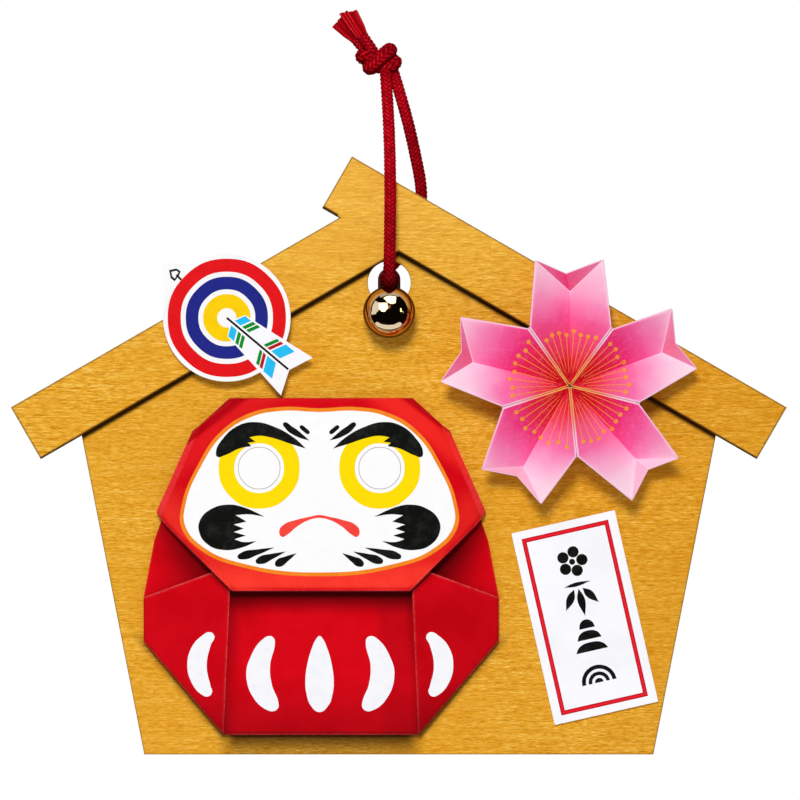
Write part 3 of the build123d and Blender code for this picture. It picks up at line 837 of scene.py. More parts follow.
# How a layer's edge turns back: width of the turn, how far it drops, how worn it is, and whether it is a flat
# strip or a round turn
BEVEL_EDGE = (1.6, 1.0, 0.1, True)
STRIP_EDGE = (2.5, 1.5, 0.1, True)
TOP_EDGE = (0.5, 0.5, 0.1, False)
STEP_EDGE = (1.2, 0.9, 0.2, True)
HEAD_EDGE = (0.35, 0.12, 0.2, False)
WING_TOP_EDGE = (0.35, 0.12, 0.6, False)
INNER_EDGE = (0.35, 0.12, 0.4, False)
FOLD_EDGE = (0.6, 0.8, 0.15, False)
BASE_EDGE = (0.7, 1.0, 0.2, False)
PLAIN_EDGE = (0.25, 0.05, 0.1, False)
WEAR_WIDTH = 0.3

# Warm light on the head near its lower edges: each edge's number and strength, and where it rises and falls
HEAD_WARM_EDGES = ((3, 0.35), (4, 1.0), (5, 0.6))
WARM_START = 0.4
WARM_RISE = 0.8
WARM_END = 9.5
WARM_FALL = 5.0

# Waves of the paper: their height, and their pace and start across and down
RIPPLE_HEIGHT = 0.10
RIPPLE_PACES = (0.13, 0.11)
RIPPLE_STARTS = (0.6, 0.9)


def both_sides(side):
    """A whole outline from its right side, given from the top down."""
    return side + [(-half_width, depth) for half_width, depth in reversed(side)]


def edge_distances(outline, place):
    """How far a place inside a convex outline lies from each of its edges."""
    distances = []
    for start, end in zip(outline, outline[1:] + outline[:1]):
        run = (Vector(end) - Vector(start)).normalized()
        distances.append(abs(run.cross(place - Vector(start))))
    return distances


def ripple(x, depth):
    """The gentle unevenness of hand-folded paper."""
    across = math.sin(RIPPLE_PACES[0] * x + RIPPLE_STARTS[0])
    return RIPPLE_HEIGHT * across * math.sin(RIPPLE_PACES[1] * depth + RIPPLE_STARTS[1])


def share_of(value, full):
    """A value as a share of its full size, kept between 0 and 1."""
    return min(1.0, max(0.0, value / full))


def add_layer(doll, outline, edges, lift, warm_edges=()):
    """One layer of the folded sheet, its edges turned back and its wear marked on its points."""
    layer = bmesh.new()
    marks = {name: layer.verts.layers.float.new(name) for name in ("fold", "warm")}
    face = layer.faces.new([layer.verts.new((x, 0, -depth)) for x, depth in outline])
    for width in DOLL_RIM:
        bmesh.ops.inset_region(layer, faces=[face], thickness=width, use_even_offset=True, use_boundary=True)
    grid_cut(layer, DOLL_GRID)
    face_viewer(layer)
    for vert in layer.verts:
        place = Vector((vert.co.x, -vert.co.z))
        height = lift(*place) + ripple(*place)
        worn = 0.0
        distances = edge_distances(outline, place)
        for distance, (width, drop, wear, flat) in zip(distances, edges):
            share = max(0.0, 1 - distance / width)
            height -= drop * (share if flat else share**2)
            worn = max(worn, wear * max(0.0, 1 - distance / WEAR_WIDTH))
        warm = 0.0
        for number, warmth in warm_edges:
            near = distances[number]
            rise = share_of(near - WARM_START, WARM_RISE)
            warm = max(warm, warmth * rise * share_of(WARM_END - near, WARM_FALL))
        vert[marks["fold"]] = worn
        vert[marks["warm"]] = warm
        vert.co.y = -height
    bmesh.ops.translate(layer, vec=(doll_middle, doll_back, doll_top), verts=layer.verts)
    mesh = bpy.data.meshes.new("layer")
    layer.to_mesh(mesh)
    layer.free()
    doll.from_mesh(mesh)
    bpy.data.meshes.remove(mesh)


def make_doll(finish):
    doll = bmesh.new()
    back = both_sides(BACK_SIDE)
    add_layer(doll, back, [PLAIN_EDGE] * len(back), lambda x, depth: BACK_FRONT)
    belly_edges = [PLAIN_EDGE, BASE_EDGE, PLAIN_EDGE, PLAIN_EDGE]
    add_layer(doll, both_sides(BELLY_SIDE), belly_edges, lambda x, depth: BELLY_FRONT)

    def wing_lift(x, depth):
        outer, inner = WING_SIDE[0][0], WING_SIDE[2][0]
        share = (outer - abs(x)) / (outer - inner)
        return WING_LIFTS[0] + (WING_LIFTS[1] - WING_LIFTS[0]) * share

    wing_edges = [FOLD_EDGE, INNER_EDGE, PLAIN_EDGE, WING_TOP_EDGE, FOLD_EDGE]
    for side in (-1, 1):
        wing = [(side * x, depth) for x, depth in WING_SIDE]
        add_layer(doll, wing, wing_edges, wing_lift)

    def head_lift(x, depth):
        return HEAD_LIFTS[0] + (HEAD_LIFTS[1] - HEAD_LIFTS[0]) * depth / HEAD_HEIGHT

    head_half = [BEVEL_EDGE, STRIP_EDGE, STEP_EDGE, HEAD_EDGE]
    head_edges = head_half + [HEAD_EDGE] + head_half[::-1] + [TOP_EDGE]
    add_layer(doll, both_sides(HEAD_SIDE), head_edges, head_lift, HEAD_WARM_EDGES)
    paper = piece("doll_paper", mesh_of(doll, "doll_paper"), finish, "plaque", smooth=True)
    paper.data.set_sharp_from_angle(angle=math.radians(DOLL_SHARP_ANGLE))
    thicken(paper, DOLL_PAPER)
    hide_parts("doll_sheet")
    return paper


# Printed films

CORNER = "corner"
OUTLINE_FINENESS = 10
# A film's hold in its paper, the step from one film to the next, and the gap that closes between its points
FILM_ROOT = 0.01
FILM_STEP = 0.02
FILM_WELD = 0.002


def outline_mesh(*outlines):
    """A flat mesh in X and Z inside its outlines; one outline inside another is a hole.

    A point is X and Z, and CORNER where the line turns sharply."""
    curve = bpy.data.curves.new("outline", "CURVE")
    curve.dimensions = "2D"
    curve.fill_mode = "BOTH"
    curve.resolution_u = OUTLINE_FINENESS
    for outline in outlines:
        spline = curve.splines.new("BEZIER")
        spline.bezier_points.add(len(outline) - 1)
        spline.use_cyclic_u = True
        for point, (x, z, *corner) in zip(spline.bezier_points, outline):
            handle = "VECTOR" if corner else "AUTO"
            point.co = (x, z, 0)
            point.handle_left_type = handle
            point.handle_right_type = handle
    mesh = mesh_from(curve)
    mesh.transform(Matrix.Rotation(math.radians(90), 4, "X"))
    return mesh


def film(name, shapes, finish, carrier, lift, centre=(0, 0), turn=0.0, step=None):
    """Ink on the front of a carrier: flat shapes turned and moved to a centre, then laid on the paper."""
    ink = bmesh.new()
    for shape in shapes:
        ink.from_mesh(shape)
        bpy.data.meshes.remove(shape)
    bmesh.ops.remove_doubles(ink, verts=ink.verts, dist=FILM_WELD)
    turning = Matrix.Rotation(math.radians(-turn), 4, "Y")
    bmesh.ops.transform(ink, matrix=Matrix.Translation((centre[0], 0, centre[1])) @ turning, verts=ink.verts)
    if step:
        grid_cut(ink, step)
    bpy.context.view_layer.update()
    paper = BVHTree.FromObject(carrier, bpy.context.evaluated_depsgraph_get())
    for vert in ink.verts:
        spot = Vector((vert.co.x, 0, vert.co.z)) * MM
        hit = paper.ray_cast(spot - Vector((0, 1, 0)), Vector((0, 1, 0)))[0] or paper.find_nearest(spot)[0]
        vert.co.y = hit.y / MM - lift
    face_viewer(ink)
    printed = piece(name, mesh_of(ink, name), finish, "plaque")
    thicken(printed, lift + FILM_ROOT)
    return printed


def circle(radius, centre=(0.0, 0.0), count=8):
    """Smooth points round a circle."""
    turns = [2 * math.pi * number / count for number in range(count)]
    return [(centre[0] + radius * math.cos(turn), centre[1] + radius * math.sin(turn)) for turn in turns]


def mirrored(points, axis=0.0):
    """The same outline on the other side of an upright axis."""
    return [(2 * axis - x, z, *corner) for x, z, *corner in reversed(points)]


# Face print, from the middle between the eyes
FACE_CENTRE = (-19.8, -87.5)
FACE_SIDE = [
    (0, 14.0), (-9, 14.3), (-16.7, 12.9), (-24, 8.4), (-29.7, 0.2), (-33.4, -9),
    (-33.5, -14.3), (-28.8, -19.8), (-18.5, -23.9), (0, -26),
]
FACE_LINE = 0.95
EYE_X = 15.05
EYE_RADII = (10.1, 6.2)
EYE_PUNCH_RADII = (5.28, 5.12)
BROW = [
    (-25.5, 2.85), (-25.85, 3.8), (-24, 7.5), (-20.3, 10.6), (-16.1, 11.5), (-11.25, 10.3), (-6.4, 7.6),
    (-3.4, 4.9, CORNER), (-7.3, 6.1), (-11.55, 7.5), (-15, 8.1), (-17.5, 7.7, CORNER), (-16, 6.6, CORNER),
    (-17.85, 6.35, CORNER), (-17, 5.5, CORNER), (-20, 4.9), (-23.7, 3.2),
]
LONG_DASH = [(-9, 11.25), (-6.7, 10.3), (-2.5, 6.9, CORNER), (-5.5, 7.8), (-8.5, 9.9)]
SHORT_DASH = [(-4.85, 10.55), (-3.3, 9.95), (-2.55, 8.65), (-4.1, 9.25)]
MOUSTACHE = [
    (-13.7, -12.1, CORNER), (-18.8, -9.8), (-22.5, -9.1), (-26.7, -10.05), (-29.7, -12.8), (-30, -15.9),
    (-27.6, -19.2), (-23.7, -20.4), (-19.4, -19.8), (-15.65, -18.2, CORNER), (-19.1, -18.4),
    (-21.25, -17.7, CORNER), (-18.4, -16.8, CORNER), (-21.4, -15.9, CORNER), (-18.9, -15.05, CORNER),
    (-21.4, -14.05, CORNER), (-18.2, -13.3, CORNER), (-20.95, -11.7, CORNER), (-17.6, -11.5),
]
WHISKERS = [
    ((-20.4, -22.2), (-11.25, -19.8)), ((-15.85, -23.4), (-8.4, -20.8)), ((-11, -24.2), (-5.7, -21.2)),
]
WHISKER_WIDTH = 1.8
MOUTH_SIDE = [(0, -11.7), (-2.8, -12.2), (-6.1, -13), (-8.8, -14), (-10, -15.6), (-9.4, -17.1), (-8.1, -16.6),
              (-5.5, -14.5), (-2.8, -13), (0, -12.4)]
WING_MARK = [
    (-27.3, -40.95), (-26.25, -41.9), (-27.15, -44.2), (-28.15, -49.35), (-27.15, -54.5), (-26.8, -55.9),
    (-27.8, -57.0), (-29.6, -56.4), (-32.0, -53.4), (-33.0, -49.1), (-32.0, -44.9), (-29.4, -41.9),
]
BELLY_MARK = [
    (-12.4, -41.95), (-11.4, -42.5), (-11.15, -43.6), (-12.35, -49.35), (-11.9, -54.1), (-10.25, -58.7),
    (-10.35, -59.9), (-11.4, -60.7), (-12.9, -60.5), (-16.2, -57.8), (-18.3, -51.8), (-17.2, -47.1),
    (-14.0, -42.6),
]
MIDDLE_MARK_SIDE = [
    (0, -41.95), (-0.85, -42.7), (-1.9, -45.0), (-2.9, -48.3), (-3.55, -53.2), (-3.2, -56.7), (-2.2, -59.3),
    (0, -60.95),
]
MARK_AXIS = 0.2
DOLL_PRINT_GRID = 3.0
# A brush stroke is widest at its shoulder and narrower at its waist, both as shares of its length
STROKE_SHOULDER = 0.14
STROKE_WAIST = 0.55
STROKE_WAIST_WIDTH = 0.72


def whole(side):
    """A closed outline from its left side, whose first and last points lie on the middle line."""
    return side + mirrored(side)[1:-1]


def pair(points):
    """A shape and its mirror image, as two meshes."""
    return [outline_mesh(points), outline_mesh(mirrored(points))]


def run_and_side(start, end, width):
    """The way from one end of a stroke to the other, and half its width square to that."""
    run = end - start
    return run, Vector((-run.y, run.x)).normalized() * width / 2


def teardrop(round_end, tip, width):
    """A brush stroke: round at one end and pointed at the other."""
    start, end = Vector(round_end), Vector(tip)
    run, side = run_and_side(start, end, width)
    shoulder = start + run * STROKE_SHOULDER
    waist = start + run * STROKE_WAIST
    waist_side = side * STROKE_WAIST_WIDTH
    return [
        tuple(start), tuple(shoulder - side), tuple(waist - waist_side), (*end, CORNER),
        tuple(waist + waist_side), tuple(shoulder + side),
    ]


def print_face(doll, inks):
    face = whole(FACE_SIDE)
    half_width = max(abs(x) for x, z in face)
    high, low = max(z for x, z in face), min(z for x, z in face)
    middle = (high + low) / 2
    wider = 1 + FACE_LINE / half_width
    taller = 1 + FACE_LINE / (high - middle)
    border = [(x * wider, middle + (z - middle) * taller) for x, z in face]
    eyes = []
    punches = []
    for side in (-1, 1):
        centre = (side * EYE_X, 0)
        eyes.append(outline_mesh(circle(EYE_RADII[0], centre), circle(EYE_RADII[1], centre)))
        punches.append(outline_mesh(circle(EYE_PUNCH_RADII[0], centre), circle(EYE_PUNCH_RADII[1], centre)))
    strokes = []
    for shape in (BROW, LONG_DASH, SHORT_DASH, MOUSTACHE):
        strokes += pair(shape)
    for round_end, tip in WHISKERS:
        strokes += pair(teardrop(round_end, tip, WHISKER_WIDTH))
    films = [
        ("face_border", [outline_mesh(border)], "orange"),
        ("face_white", [outline_mesh(face)], "white"),
        ("face_eyes", eyes, "yellow"),
        ("face_eye_lines", punches, "grey"),
        ("face_mouth", [outline_mesh(whole(MOUTH_SIDE))], "coral"),
        ("face_brush_strokes", strokes, "black"),
    ]
    for count, (name, shapes, ink) in enumerate(films, start=1):
        film(name, shapes, inks[ink], doll, count * FILM_STEP, FACE_CENTRE, step=DOLL_PRINT_GRID)


def print_marks(doll, inks):
    marks = [outline_mesh(whole(MIDDLE_MARK_SIDE))]
    for mark in (WING_MARK, BELLY_MARK):
        marks.append(outline_mesh(mark))
        marks.append(outline_mesh(mirrored(mark, MARK_AXIS)))
    film("belly_marks", marks, inks["mark"], doll, FILM_STEP, FACE_CENTRE, step=DOLL_PRINT_GRID)


# The folded flower; each row of its sizes starts with the petal at the top

FLOWER_X = 42.6
FLOWER_Z = -67.0
SEAM_ANGLES = (54.0, 125.5, 197.6, 275.3, 346.0)
PETAL_ANGLES = (90.4, 163.0, 239.7, 312.4, 382.5)
TIP_SPREADS = (15.1, 15.1, 16.5, 14.0, 14.7)
TIP_RADII = (32.5, 32.2, 30.2, 32.4, 31.8)
TIP_HEIGHT = 6.3
SEAM_RADIUS = 17.8
SEAM_HEIGHT = 8.5
SEAM_GAP = 0.05
SEAM_ROUND = 0.34
CREST_MIDDLE = 0.012
NOTCH_SHARES = (0.862, 0.88, 0.86, 0.88, 0.893)
NOTCH_ANGLES = (92.0, 162.4, 239.7, 313.0, 382.2)
NOTCH_HEIGHT = 3.6
VALLEY_SHARES = (0.725, 0.772, 0.772, 0.765, 0.771)
VALLEY_ANGLES = (89.7, 166.2, 240.1, 312.2, 380.0)
VALLEY_HEIGHT = 1.0
# Painted light and shade on each petal's two halves: 0 is the shaded copy of the tint and 1 the lit one
HALF_PAINTED_LIGHT = ((0.5, 0.3), (0.0, 1.0), (0.05, 1.0), (0.9, 0.0), (0.95, 0.0))
END_TONES = ((0.08, 0.0), (0.12, 0.14), (0.7, 0.76), (0.76, 0.95), (0.22, 0.22))
HEART_RADIUS = 0.3
HEART_HEIGHT = 2.2
FLAP_START = 0.7
FLAP_HEIGHT = 0.3
PETAL_PAPER = 0.2
PETAL_CUTS = 11
PETAL_SHARP_ANGLE = 50
# How far down the fold map the wall starts and the flap ends
WALL_MAP = -0.02
FLAP_MAP = -0.3
STAMENS = 8
STAMEN_MARGIN = 4.0
STAMEN_START = 3.4
STAMEN_STAGGER = 0.8
STAMEN_REACHES = (13.2, 14.6, 14.8, 14.6, 14.3)
STAMEN_UNEVEN = 0.5
STAMEN_WAVE = 2.4
STAMEN_WIDTH = 0.2
STAMEN_ROOT_SHARE = 0.25
STAMEN_DOT = 0.52
STAMEN_DOT_POINTS = 6
STAMEN_GRID = 1.2


def flower_point(radius, angle, height, aside=0.0):
    """A point of the flower: radius along an angle, aside to its left, height above the pad."""
    turn = math.radians(angle)
    out = Vector((math.cos(turn), 0, math.sin(turn)))
    left = Vector((-math.sin(turn), 0, math.cos(turn)))
    return Vector((FLOWER_X, pad_front - height, FLOWER_Z)) + out * radius + left * aside


def make_petal(number, first, last, middle, spread, reach, finish):
    """A trough with a notched end and a flap down each seam, folded from one sheet."""
    shape = bmesh.new()
    fold = shape.loops.layers.uv.new("fold")
    tone = shape.loops.layers.uv.new("tone")
    index = number - 1

    def corner(radius, angle, height, aside=0.0):
        return shape.verts.new(flower_point(radius, angle, height, aside))

    heart = corner(HEART_RADIUS, middle, HEART_HEIGHT)
    valley = corner(VALLEY_SHARES[index] * reach, VALLEY_ANGLES[index], VALLEY_HEIGHT)
    notch = corner(NOTCH_SHARES[index] * reach, NOTCH_ANGLES[index], NOTCH_HEIGHT)
    tones = zip(HALF_PAINTED_LIGHT[index], END_TONES[index])
    for angle, side, half_tones in zip((first, last), (1, -1), tones):
        crest, wall = side * (SEAM_GAP + SEAM_ROUND), side * SEAM_GAP
        seam = corner(SEAM_RADIUS, angle, SEAM_HEIGHT, crest)
        tip = corner(reach, middle - side * spread, TIP_HEIGHT)
        wall_start = corner(FLAP_START, angle, HEART_HEIGHT, wall)
        wall_end = corner(SEAM_RADIUS, angle, SEAM_HEIGHT - SEAM_ROUND, wall)
        flap_start = corner(FLAP_START, angle, FLAP_HEIGHT, wall)
        flap_end = corner(SEAM_RADIUS, angle, FLAP_HEIGHT, wall)
        facets = [
            [(heart, 0, 0), (seam, 1, 0), (tip, 1, 1), (valley, 0, 1)],
            [(valley, 0, 1), (tip, 1, 1), (notch, 0, 2)],
            [(heart, 0, 0), (wall_start, 0, WALL_MAP), (wall_end, 1, WALL_MAP), (seam, 1, 0)],
            [(wall_start, 0, WALL_MAP), (flap_start, 0, FLAP_MAP), (flap_end, 1, FLAP_MAP),
             (wall_end, 1, WALL_MAP)],
        ]
        for facet in facets:
            face = shape.faces.new([vert for vert, u, v in facet])
            for loop, (vert, u, v) in zip(face.loops, facet):
                loop[fold].uv = (u, v)
                loop[tone].uv = half_tones
    bmesh.ops.subdivide_edges(shape, edges=shape.edges[:], cuts=PETAL_CUTS, use_grid_fill=True)
    face_viewer(shape)
    name = f"petal_paper_{number}"
    petal = piece(name, mesh_of(shape, name), finish, "plaque", smooth=True)
    petal.data.set_sharp_from_angle(angle=math.radians(PETAL_SHARP_ANGLE))
    thicken(petal, PETAL_PAPER)
    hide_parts(f"petal_{number}")
    return petal


def print_stamens(number, first, last, petal, ink):
    """Fine lines from the heart, each with a dot at its end."""
    shapes = []
    span = last - first - 2 * STAMEN_MARGIN
    for count in range(STAMENS):
        turn = math.radians(first + STAMEN_MARGIN + span * (count + 0.5) / STAMENS)
        out = Vector((math.cos(turn), math.sin(turn)))
        side = Vector((-out.y, out.x)) * STAMEN_WIDTH / 2
        root_side = side * STAMEN_ROOT_SHARE
        uneven = STAMEN_UNEVEN * math.sin(STAMEN_WAVE * count + number)
        end = out * (STAMEN_REACHES[number - 1] + uneven)
        start = out * (STAMEN_START + STAMEN_STAGGER * (count % 2))
        shapes.append(outline_mesh(cornered([start - root_side, end - side, end + side, start + root_side])))
        shapes.append(outline_mesh(circle(STAMEN_DOT, end, STAMEN_DOT_POINTS)))
    film(f"stamens_{number}", shapes, ink, petal, 2 * FILM_STEP, (FLOWER_X, FLOWER_Z), step=STAMEN_GRID)


# Target and its arrow, from the target's middle

TARGET_CENTRE = (-42.9, -50.0)
TARGET_RINGS = {"red": (14.75, 11.5), "blue": (10.25, 7.1), "yellow": (5.9, 2.4)}
ARROW_TURN = -40.0
VANES = [(1.2, 0), (3.1, 3.45), (22.75, 6.1), (20.25, 0), (22.75, -6.1), (3.1, -3.45)]
SHAFT_LENGTH = 20.0
SHAFT_WIDTH = 0.52
VANE_BANDS = {
    "sky": [(2.0, 3.9), (13.8, 16.65)],
    "green": [(4.35, 5.3), (5.6, 6.55), (11.35, 12.25)],
    "crimson": [(12.5, 13.4)],
}
BAND_INNER = 0.75
BAND_OUTER = 3.0
BAND_WIDENS = 0.083
BAND_SLANT = 0.48
POINT_OUTER = [(-14.4, 11.9), (-12.6, 12.3), (-11.5, 11.6), (-11.9, 10.6), (-13.0, 9.1), (-14.0, 9.9)]
POINT_INNER = [(-13.85, 11.45), (-12.6, 11.75), (-12.05, 11.35), (-12.4, 10.6), (-13.0, 9.8), (-13.6, 10.3)]
POINT_STUB = [(-12.75, 10.55), (-11.55, 9.3), (-11.2, 9.65), (-12.4, 10.95)]


def cornered(points):
    return [(x, z, CORNER) for x, z in points]


def band(start, end, side):
    """A slanted stripe across one vane, between two distances along the arrow's shaft."""
    outer = BAND_OUTER + BAND_WIDENS * end
    slant = BAND_SLANT * (outer - BAND_INNER)
    inner_points = [(start, side * BAND_INNER), (end, side * BAND_INNER)]
    outer_points = [(end + slant, side * outer), (start + slant, side * outer)]
    return outline_mesh(cornered(inner_points + outer_points))


def print_target(inks):
    """The target's rings and the arrow, each by its name, shapes, ink, layer and turn."""
    films = []
    for name, (outer, inner) in TARGET_RINGS.items():
        ring = outline_mesh(circle(outer), circle(inner))
        films.append((f"target_ring_{name}", [ring], "target_" + name, 1, 0.0))
    films.append(("arrow_vanes", [outline_mesh(cornered(VANES))], "card_white", 2, ARROW_TURN))
    for name, spans in VANE_BANDS.items():
        bands = [band(start, end, side) for start, end in spans for side in (-1, 1)]
        films.append((f"arrow_bands_{name}", bands, name, 3, ARROW_TURN))
    half = SHAFT_WIDTH / 2
    shaft = [(0, -half), (SHAFT_LENGTH, -half), (SHAFT_LENGTH, half), (0, half)]
    films.append(("arrow_shaft", [outline_mesh(cornered(shaft))], "black", 4, ARROW_TURN))
    point = [outline_mesh(cornered(POINT_OUTER), cornered(POINT_INNER)), outline_mesh(cornered(POINT_STUB))]
    films.append(("arrow_point", point, "black", 1, 0.0))
    for name, shapes, ink, layer, turn in films:
        film(name, shapes, inks[ink], nodes["target_card"], layer * FILM_STEP, TARGET_CENTRE, turn)


# Talisman with a red frame and a column of plain seasonal motifs

TALISMAN_CENTRE = (46.5, -124.9)
TALISMAN_TURN = 12.8
FRAME_HALF = (11.1, 22.6)
FRAME_BAND = (0.0, 1.1)
FRAME_LINE = (0.24, 0.86)
# Each motif by its height in the column and its sizes
BLOSSOM_Z = 14.3
BLOSSOM_PETALS = 5
BLOSSOM_PETAL_RADIUS = 1.4
BLOSSOM_REACH = 2.5
BLOSSOM_DOT_RADIUS = 0.75
BAMBOO_Z = 4.8
BAMBOO_TIPS = [(-4.2, -2.2), (0.2, -4.4), (4.3, -1.8)]
BAMBOO_ROOT_SHARE = 0.25
BAMBOO_ROOT_Z = 2.6
BAMBOO_LEAF_WIDTH = 1.9
BAMBOO_TWIG = [(-3.4, 3.6), (3.6, 3.9)]
BAMBOO_TWIG_WIDTH = 1.0
LEAF_WAIST = 0.4
PINE_Z = -4.8
PINE_CROWNS = [(2.0, 3.0), (3.1, 0.2), (4.1, -2.8)]
PINE_CROWN_DROP = 0.9
PINE_SHOULDER_SHARE = 0.72
PINE_SHOULDER_Z = 1.5
PINE_TOP_Z = 2.2
WAVE_Z = -14.6
WAVE_FOOT = -2.0
WAVE_BOWS = [(4.4, 3.4), (2.7, 1.8), (1.1, 0.0)]
WAVE_STEPS = 8


def rectangle(half_width, half_height):
    points = [(-half_width, -half_height), (half_width, -half_height), (half_width, half_height)]
    return cornered(points + [(-half_width, half_height)])


def frame_line(outer, inner):
    wide, high = FRAME_HALF
    return outline_mesh(rectangle(wide - outer, high - outer), rectangle(wide - inner, high - inner))


def blossom_motif():
    """Five round petals about a dot."""
    centres = circle(BLOSSOM_REACH, (0, BLOSSOM_Z), BLOSSOM_PETALS)
    rounds = [circle(BLOSSOM_PETAL_RADIUS, centre) for centre in centres]
    return [outline_mesh(outline) for outline in rounds + [circle(BLOSSOM_DOT_RADIUS, (0, BLOSSOM_Z))]]


def leaf(base, tip, width):
    """A long leaf, pointed at both ends."""
    start, end = Vector(base), Vector(tip)
    run, side = run_and_side(start, end, width)
    waist = start + run * LEAF_WAIST
    return outline_mesh([(*start, CORNER), tuple(waist - side), (*end, CORNER), tuple(waist + side)])


def bamboo_motif():
    """Three leaves that hang from a twig."""
    leaves = []
    for x, z in BAMBOO_TIPS:
        root = (BAMBOO_ROOT_SHARE * x, BAMBOO_Z + BAMBOO_ROOT_Z)
        leaves.append(leaf(root, (x, BAMBOO_Z + z), BAMBOO_LEAF_WIDTH))
    twig = [(x, BAMBOO_Z + z) for x, z in BAMBOO_TWIG]
    return leaves + [leaf(*twig, BAMBOO_TWIG_WIDTH)]


def pine_motif():
    """Three flat crowns, the widest one lowest."""
    crowns = []
    for half_width, z in PINE_CROWNS:
        base = PINE_Z + z - PINE_CROWN_DROP
        shoulder, shoulder_z = half_width * PINE_SHOULDER_SHARE, base + PINE_SHOULDER_Z
        crowns.append(outline_mesh([
            (-half_width, base, CORNER), (half_width, base, CORNER), (shoulder, shoulder_z),
            (0, base + PINE_TOP_Z), (-shoulder, shoulder_z),
        ]))
    return crowns


def half_ring(radius, turns):
    """Points of a half ring on the waves' foot, with sharp ends."""
    points = [(radius * math.cos(turn), WAVE_Z + WAVE_FOOT + radius * math.sin(turn)) for turn in turns]
    return [(*points[0], CORNER), *points[1:-1], (*points[-1], CORNER)]


def wave_motif():
    """Nested half rings, as on wave-patterned cloth."""
    turns = [math.pi * count / WAVE_STEPS for count in range(WAVE_STEPS + 1)]
    bows = []
    for outer, inner in WAVE_BOWS:
        bow = half_ring(outer, turns)
        if inner:
            bow += half_ring(inner, turns[::-1])
        bows.append(outline_mesh(bow))
    return bows


def print_talisman(inks):
    """The frame and the motifs, each by its name, shapes, ink and layer."""
    motifs = blossom_motif() + bamboo_motif() + pine_motif() + wave_motif()
    films = [
        ("talisman_frame", [frame_line(*FRAME_BAND)], "dark_red", 1),
        ("talisman_frame_line", [frame_line(*FRAME_LINE)], "frame_red", 2),
        ("talisman_motifs", motifs, "black", 1),
    ]
    card = nodes["talisman_card"]
    for name, shapes, ink, layer in films:
        film(name, shapes, inks[ink], card, layer * FILM_STEP, TALISMAN_CENTRE, TALISMAN_TURN)


# Foam pads

PAD_ROUND = 0.25
PAD_ROUND_STEPS = 3
PAD_WELD = 0.01
PAD_FLAT_ANGLE = 2
PAD_SHARP_ANGLE = 40


def make_pad(node, finish):
    """A die-cut foam pad with softened edges, in the place of its plain block."""
    pad = bmesh.new()
    pad.from_mesh(nodes[node].data)
    bmesh.ops.remove_doubles(pad, verts=pad.verts, dist=PAD_WELD * MM)
    flat, steep = math.radians(PAD_FLAT_ANGLE), math.radians(PAD_SHARP_ANGLE)
    bmesh.ops.dissolve_limit(pad, angle_limit=flat, verts=pad.verts, edges=pad.edges)
    sharp = [edge for edge in pad.edges if edge.calc_face_angle(0.0) > steep]
    bmesh.ops.bevel(
        pad, geom=sharp, offset=PAD_ROUND * MM, segments=PAD_ROUND_STEPS, profile=0.5, affect="EDGES",
        material=-1,
    )
    mesh = bpy.data.meshes.new(node + "_foam")
    pad.to_mesh(mesh)
    pad.free()
    foam = piece(node + "_foam", mesh, finish, "plaque")
    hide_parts(node)


# Studio

def seen_rays(tree):
    """1 for rays from the camera, a mirror or glass, else 0."""
    path = tree.nodes.new("ShaderNodeLightPath")
    seen = path.outputs["Is Camera Ray"]
    for ray in ("Is Glossy Ray", "Is Transmission Ray"):
        larger = tree.nodes.new("ShaderNodeMath")
        larger.operation = "MAXIMUM"
        tree.links.new(seen, larger.inputs[0])
        tree.links.new(path.outputs[ray], larger.inputs[1])
        seen = larger.outputs[0]
    return seen


def make_world():
    """White to look at, and a soft even light on the object."""
    world = bpy.data.worlds.new("studio")
    bpy.context.scene.world = world
    world.use_nodes = True
    tree = world.node_tree
    sky = tree.nodes["Background"]
    sky.inputs["Color"].default_value = (1, 1, 1, 1)
    strength = tree.nodes.new("ShaderNodeMath")
    strength.operation = "MULTIPLY_ADD"
    tree.links.new(seen_rays(tree), strength.inputs[0])
    strength.inputs[1].default_value = 1 - AMBIENT
    strength.inputs[2].default_value = AMBIENT
    tree.links.new(strength.outputs[0], sky.inputs["Strength"])


def make_floor():
    """A white disc under the object that keeps its shadow and fades out towards its edge."""
    shape = bmesh.new()
    bmesh.ops.create_circle(shape, cap_ends=True, segments=FLOOR_SIDES, radius=FLOOR_RADIUS)
    bmesh.ops.translate(shape, vec=(0, 0, FLOOR_HEIGHT), verts=shape.verts)
    finish = Finish("floor_white", srgb(246, 246, 246), 0.9)
    shaded = Signal(finish, finish.shader.outputs[0])
    white = finish.add("Emission", {"Color": (1, 1, 1, 1), "Strength": 1.0})
    reach = finish.length(finish.place(FLOOR_RADIUS, (0, 0, FLOOR_HEIGHT)))
    seen = Signal(finish, seen_rays(finish.material.node_tree))
    factor = seen * reach.level(0.35, 0.95, 0.72, 1.0)
    blend = finish.add("MixShader", {0: factor, 1: shaded, 2: white})
    finish.feed(finish.nodes["Material Output"].inputs["Surface"], blend)
    mesh = mesh_of(shape, "floor")
    mesh.materials.append(finish.material)
    show("floor", mesh)


# Panels that only mirrors see: a dark tent in front of the bell, with light cards in it
TENT_RADIUS = 150.0
TENT_SEGMENTS = (48, 24)
TENT_COLOUR = (0.006, 0.005, 0.005, 1)
CARD_SHARE = 0.93
CARD_GRID = 0.06
DARK_RING_RADII = (6.6, 15.0)
DARK_RING_POINTS = 16
DARK_RING_PLACE = -4.8
DARK_RING_COLOUR = (0.16, 0.07, 0.015, 1.0)
